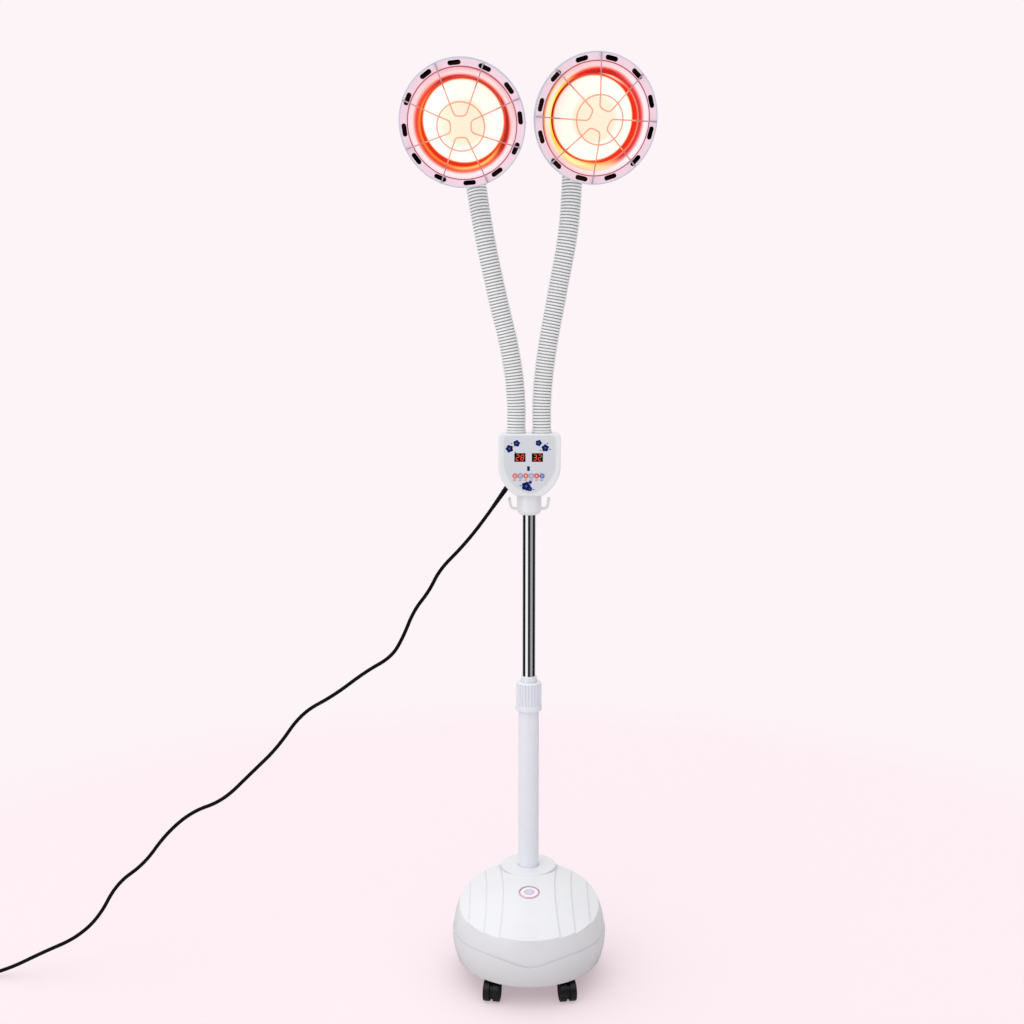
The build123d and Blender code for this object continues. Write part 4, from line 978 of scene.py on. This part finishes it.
# Petal outlines repeated round the centre of every flower point.
def makeBlossomTree():
    tree, add, given = newTree("printedBlossoms", {
        "Petals": 5, "Petal Length": 0.003, "Petal Width": 0.0026, "Thickness": 0.0001, "Ink": "Material",
    })
    petal = add("GeometryNodeMeshCircle", {"Vertices": blossomShape["petalPoints"], "Radius": 0.5},
                fill_type="NGON")
    stretch = add("CombineXYZ", {"X": given["Petal Length"], "Y": given["Petal Width"], "Z": 1.0})
    offset = add("Math", {0: given["Petal Length"], 1: blossomShape["petalOut"]}, operation="MULTIPLY")
    aside = add("CombineXYZ", {"X": offset})
    shaped = add("GeometryNodeTransform", {"Geometry": petal, "Translation": aside, "Scale": stretch})
    solid = add("GeometryNodeExtrudeMesh", {"Mesh": shaped, "Offset Scale": given["Thickness"]},
                mode="FACES")
    centres = add("GeometryNodeMeshLine", {"Offset": (0, 0, 0), "Count": given["Petals"]}, mode="OFFSET")
    index = add("GeometryNodeInputIndex")
    share = add("Math", {0: index, 1: given["Petals"]}, operation="DIVIDE")
    angle = add("Math", {0: share, 1: 2 * math.pi}, operation="MULTIPLY")
    turn = add("CombineXYZ", {"Z": angle})
    flower = add("GeometryNodeInstanceOnPoints", {"Points": centres, "Instance": solid, "Rotation": turn})
    size = add("GeometryNodeInputNamedAttribute", {"Name": "size"}, data_type="FLOAT")
    spin = add("GeometryNodeInputNamedAttribute", {"Name": "spin"}, data_type="FLOAT")
    spinVector = add("CombineXYZ", {"Z": spin})
    spread = add("GeometryNodeInstanceOnPoints",
                 {"Points": given["Geometry"], "Instance": flower, "Rotation": spinVector, "Scale": size})
    closeTree(add, spread, given["Ink"])
    return tree


# Loose points with a size and a spin each, in mm on the panel's drawing plane.
def markedPoints(name, places):
    mesh = bpy.data.meshes.new(name)
    mesh.from_pydata([(x * mm, z * mm, 0) for x, z, size, spin in places], [], [])
    sizes = mesh.attributes.new("size", "FLOAT", "POINT")
    spins = mesh.attributes.new("spin", "FLOAT", "POINT")
    for index, (x, z, size, spin) in enumerate(places):
        sizes.data[index].value = size
        spins.data[index].value = math.radians(spin)
    return mesh


# Each print of the blossoms: where it goes, its petals, their size, its layers and its ink.
blossomPrints = {
    "blossomPetals": ("places", blossomShape["petals"], blossomShape["petal"], 1, "navy"),
    "blossomVeins": ("places", blossomShape["petals"], blossomShape["vein"], 2, "paleBlue"),
    "blossomLeaves": ("leaves", 1, blossomShape["leaf"], 1, "navy"),
}
blossomTree = makeBlossomTree()
for name, (places, petals, (length, width), layers, ink) in blossomPrints.items():
    values = {
        "Petals": petals,
        "Petal Length": length * mm,
        "Petal Width": width * mm,
        "Thickness": layers * panel["printDepth"] * mm,
        "Ink": inks[ink],
    }
    piece = pieceFromTree(name, blossomTree, values, markedPoints(name + "Points", blossomShape[places]))
    piece.data.transform(panelPlace(panel["front"]))
    piece.data.update()
    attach(piece, "upper")


# Arc band from start to end degrees as one outline.
def ringOutline(radius, stroke, start, end, steps=20):
    angles = [math.radians(start + (end - start) * step / steps) for step in range(steps + 1)]
    outer = [((radius + stroke / 2) * math.cos(a), (radius + stroke / 2) * math.sin(a)) for a in angles]
    inner = [((radius - stroke / 2) * math.cos(a), (radius - stroke / 2) * math.sin(a)) for a in angles]
    return outer + inner[::-1]


def barOutline(x, y, width, height):
    return [(x - width / 2, y - height / 2), (x + width / 2, y - height / 2),
            (x + width / 2, y + height / 2), (x - width / 2, y + height / 2)]


# common signs for power, time, up, down, more and less
keySigns = {
    1: [ringOutline(1.7, 0.5, 125, 415), barOutline(0, 1.3, 0.5, 1.9)],
    2: [ringOutline(1.9, 0.5, 0, 359), barOutline(0, 0.6, 0.45, 1.3), barOutline(0.5, 0, 1.2, 0.45)],
    3: [[(-1.7, -0.9), (1.7, -0.9), (0, 1.8)]],
    4: [[(-1.7, 0.9), (0, -1.8), (1.7, 0.9)]],
    5: [barOutline(0, 0, 3.2, 0.7), barOutline(0, 1.0, 0.7, 1.25), barOutline(0, -1.0, 0.7, 1.25)],
    6: [barOutline(0, 0, 3.2, 0.7)],
}
keyRow = {
    "pitch": 8.65,
    "centre": -1.5,
    "height": 815.5,
    "face": 38.8,
    "signDepth": 0.1,
    # the two bars of a label: to the right of the key's middle, above it, width, height
    "labelBars": [(0.0, -6.4, 5.6, 0.8), (-0.6, -7.8, 3.6, 0.7)],
}
for number, outlines in keySigns.items():
    x = keyRow["centre"] + (number - (len(keySigns) + 1) / 2) * keyRow["pitch"]
    moved = [[(x + px, keyRow["height"] + pz) for px, pz in outline] for outline in outlines]
    sign = flatPiece(f"keySign_{number}", moved, panelPlace(keyRow["face"]), keyRow["signDepth"],
                     inks["pale"])
    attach(sign, f"key_{number}")
    label = [barOutline(x + px, keyRow["height"] + pz, width, height)
             for px, pz, width, height in keyRow["labelBars"]]
    flat = flatPiece(f"keyLabel_{number}", label, panelPlace(panel["front"]), panel["printDepth"],
                     inks["red" if number % 2 else "lilac"])
    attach(flat, "upper")
print("panel prints made")


# Studio: pale floor that fades into the backdrop, soft light from above and the left.

studio = {
    "floorSize": 3.4,
    "floorFade": (1.2, 1.6),  # m from the base's centre
    "shadowLift": 0.42,
    "shadowTone": "#FFE9F0",
    "backdrop": "#FDF4F7",
    "skyLow": 0.36,  # light from the horizon, and what height, the left and the front add to it
    "skyGain": (-0.38, -0.22, 1.32),
    "underLight": 1.5,
    "floorBounce": 0.64,  # share of its light that the floor throws back on things
    # what glossy things mirror, by turn from straight ahead in degrees, positive to the right
    "mirrorStops": {-180: "#F4EFF1", -150: "#E6E2E4", -126: "#B8B8BA", -120: "#070707", -68: "#070707",
                    -58: "#FFFFFF", -26: "#FFFFFF", -14: "#181819", 14: "#181819", 30: "#A8A8AA",
                    56: "#A8A8AA", 74: "#070707", 120: "#070707", 126: "#B8B8BA", 150: "#E6E2E4",
                    180: "#F4EFF1"},
    "ceiling": (0.5, 0.8),  # upward share of a direction where the mirrored walls give way to the sky
    "softbox": {"place": (-1.6, -2.2, 2.6), "target": (0, 0, 0.6), "size": 0.9, "power": 5},
}


# Matt paper: part of its light is its own, which keeps the shadow pale and pink.
def makeFloorPaper():
    lift = studio["shadowLift"]
    material, add, shader = newMaterial("paleStudioPaper", [studio["backdrop"]], [0.9], specular=0.0)
    paper = hexColour(studio["backdrop"])
    fillInputs(shader, {"Base Color": tuple(v * (1 - lift) for v in paper[:3]) + (1.0,),
                        "Emission Color": studio["shadowTone"], "Emission Strength": lift})
    coordinates = add("TexCoord").outputs["Object"]
    reach = add("VectorMath", {0: coordinates}, operation="LENGTH")
    near, far = studio["floorFade"]
    fade = add("MapRange",
               {"Value": reach, "From Min": near, "From Max": far, "To Min": 1.0, "To Max": 0.0},
               interpolation_type="SMOOTHSTEP")
    bounceColour = tuple(v * studio["floorBounce"] for v in paper[:3]) + (1.0,)
    bounce = add("BsdfDiffuse", {"Color": bounceColour})
    rays = add("LightPath").outputs
    seen = add("MixShader", {0: rays["Is Camera Ray"], 1: bounce, 2: shader})
    clear = add("BsdfTransparent")
    faded = add("MixShader", {0: fade, 1: clear, 2: seen})
    fillInputs(material.node_tree.nodes["Material Output"], {"Surface": faded})
    return material


half = studio["floorSize"] / 2
floor = meshPiece("studioFloor", [(-half, -half, 0), (half, -half, 0), (half, half, 0), (-half, half, 0)],
                  [(0, 1, 2, 3)], makeFloorPaper(), smooth=False)


# Room of soft light, brighter overhead. Seen straight on it is the plain backdrop; mirrors see dark walls.
def makeStudioWorld():
    room = bpy.data.worlds.new("studioWorld")
    room.use_nodes = True
    tree = room.node_tree
    tree.nodes.clear()
    add = partial(addNode, tree)
    direction = add("TexCoord").outputs["Generated"]
    parts = add("SeparateXYZ", {"Vector": direction}).outputs
    gain = add("VectorMath", {0: direction, 1: studio["skyGain"]}, operation="DOT_PRODUCT")
    above = add("Math", {0: gain, 1: studio["skyLow"]}, operation="ADD")
    isUp = add("Math", {0: parts["Z"], 1: 0.0}, operation="GREATER_THAN")
    level = add("Mix", {0: isUp, 2: studio["underLight"], 3: above}, data_type="FLOAT")
    sky = add("Background", {"Strength": level})
    ahead = add("Math", {0: parts["Y"], 1: -1.0}, operation="MULTIPLY")
    turn = add("Math", {0: parts["X"], 1: ahead}, operation="ARCTAN2")
    share = add("MapRange", {"Value": turn, "From Min": -math.pi, "From Max": math.pi})
    stops = {(place + 180) / 360: tone for place, tone in studio["mirrorStops"].items()}
    walls = add("Background", {"Color": colourRamp(add, share, stops)})
    low, high = studio["ceiling"]
    ceiling = add("MapRange", {"Value": parts["Z"], "From Min": low, "From Max": high},
                  interpolation_type="SMOOTHSTEP")
    mirrored = add("MixShader", {0: ceiling, 1: walls, 2: sky})
    backdrop = add("Background", {"Color": studio["backdrop"]})
    rays = add("LightPath").outputs
    lit = add("MixShader", {0: rays["Is Glossy Ray"], 1: sky, 2: mirrored})
    seen = add("MixShader", {0: rays["Is Camera Ray"], 1: lit, 2: backdrop})
    add("OutputWorld", {"Surface": seen})
    return room


scene.world = makeStudioWorld()

softbox = studio["softbox"]
softboxData = bpy.data.lights.new("keySoftbox", "AREA")
softboxData.shape = "RECTANGLE"
softboxData.size = softboxData.size_y = softbox["size"]
softboxData.energy = softbox["power"]
keySoftbox = linkObject("keySoftbox", softboxData)
keySoftbox.location = softbox["place"]
lightWay = Vector(softbox["target"]) - Vector(softbox["place"])
keySoftbox.rotation_euler = lightWay.to_track_quat("-Z", "Y").to_euler()
scene.view_settings.view_transform = "Standard"
print("studio set")
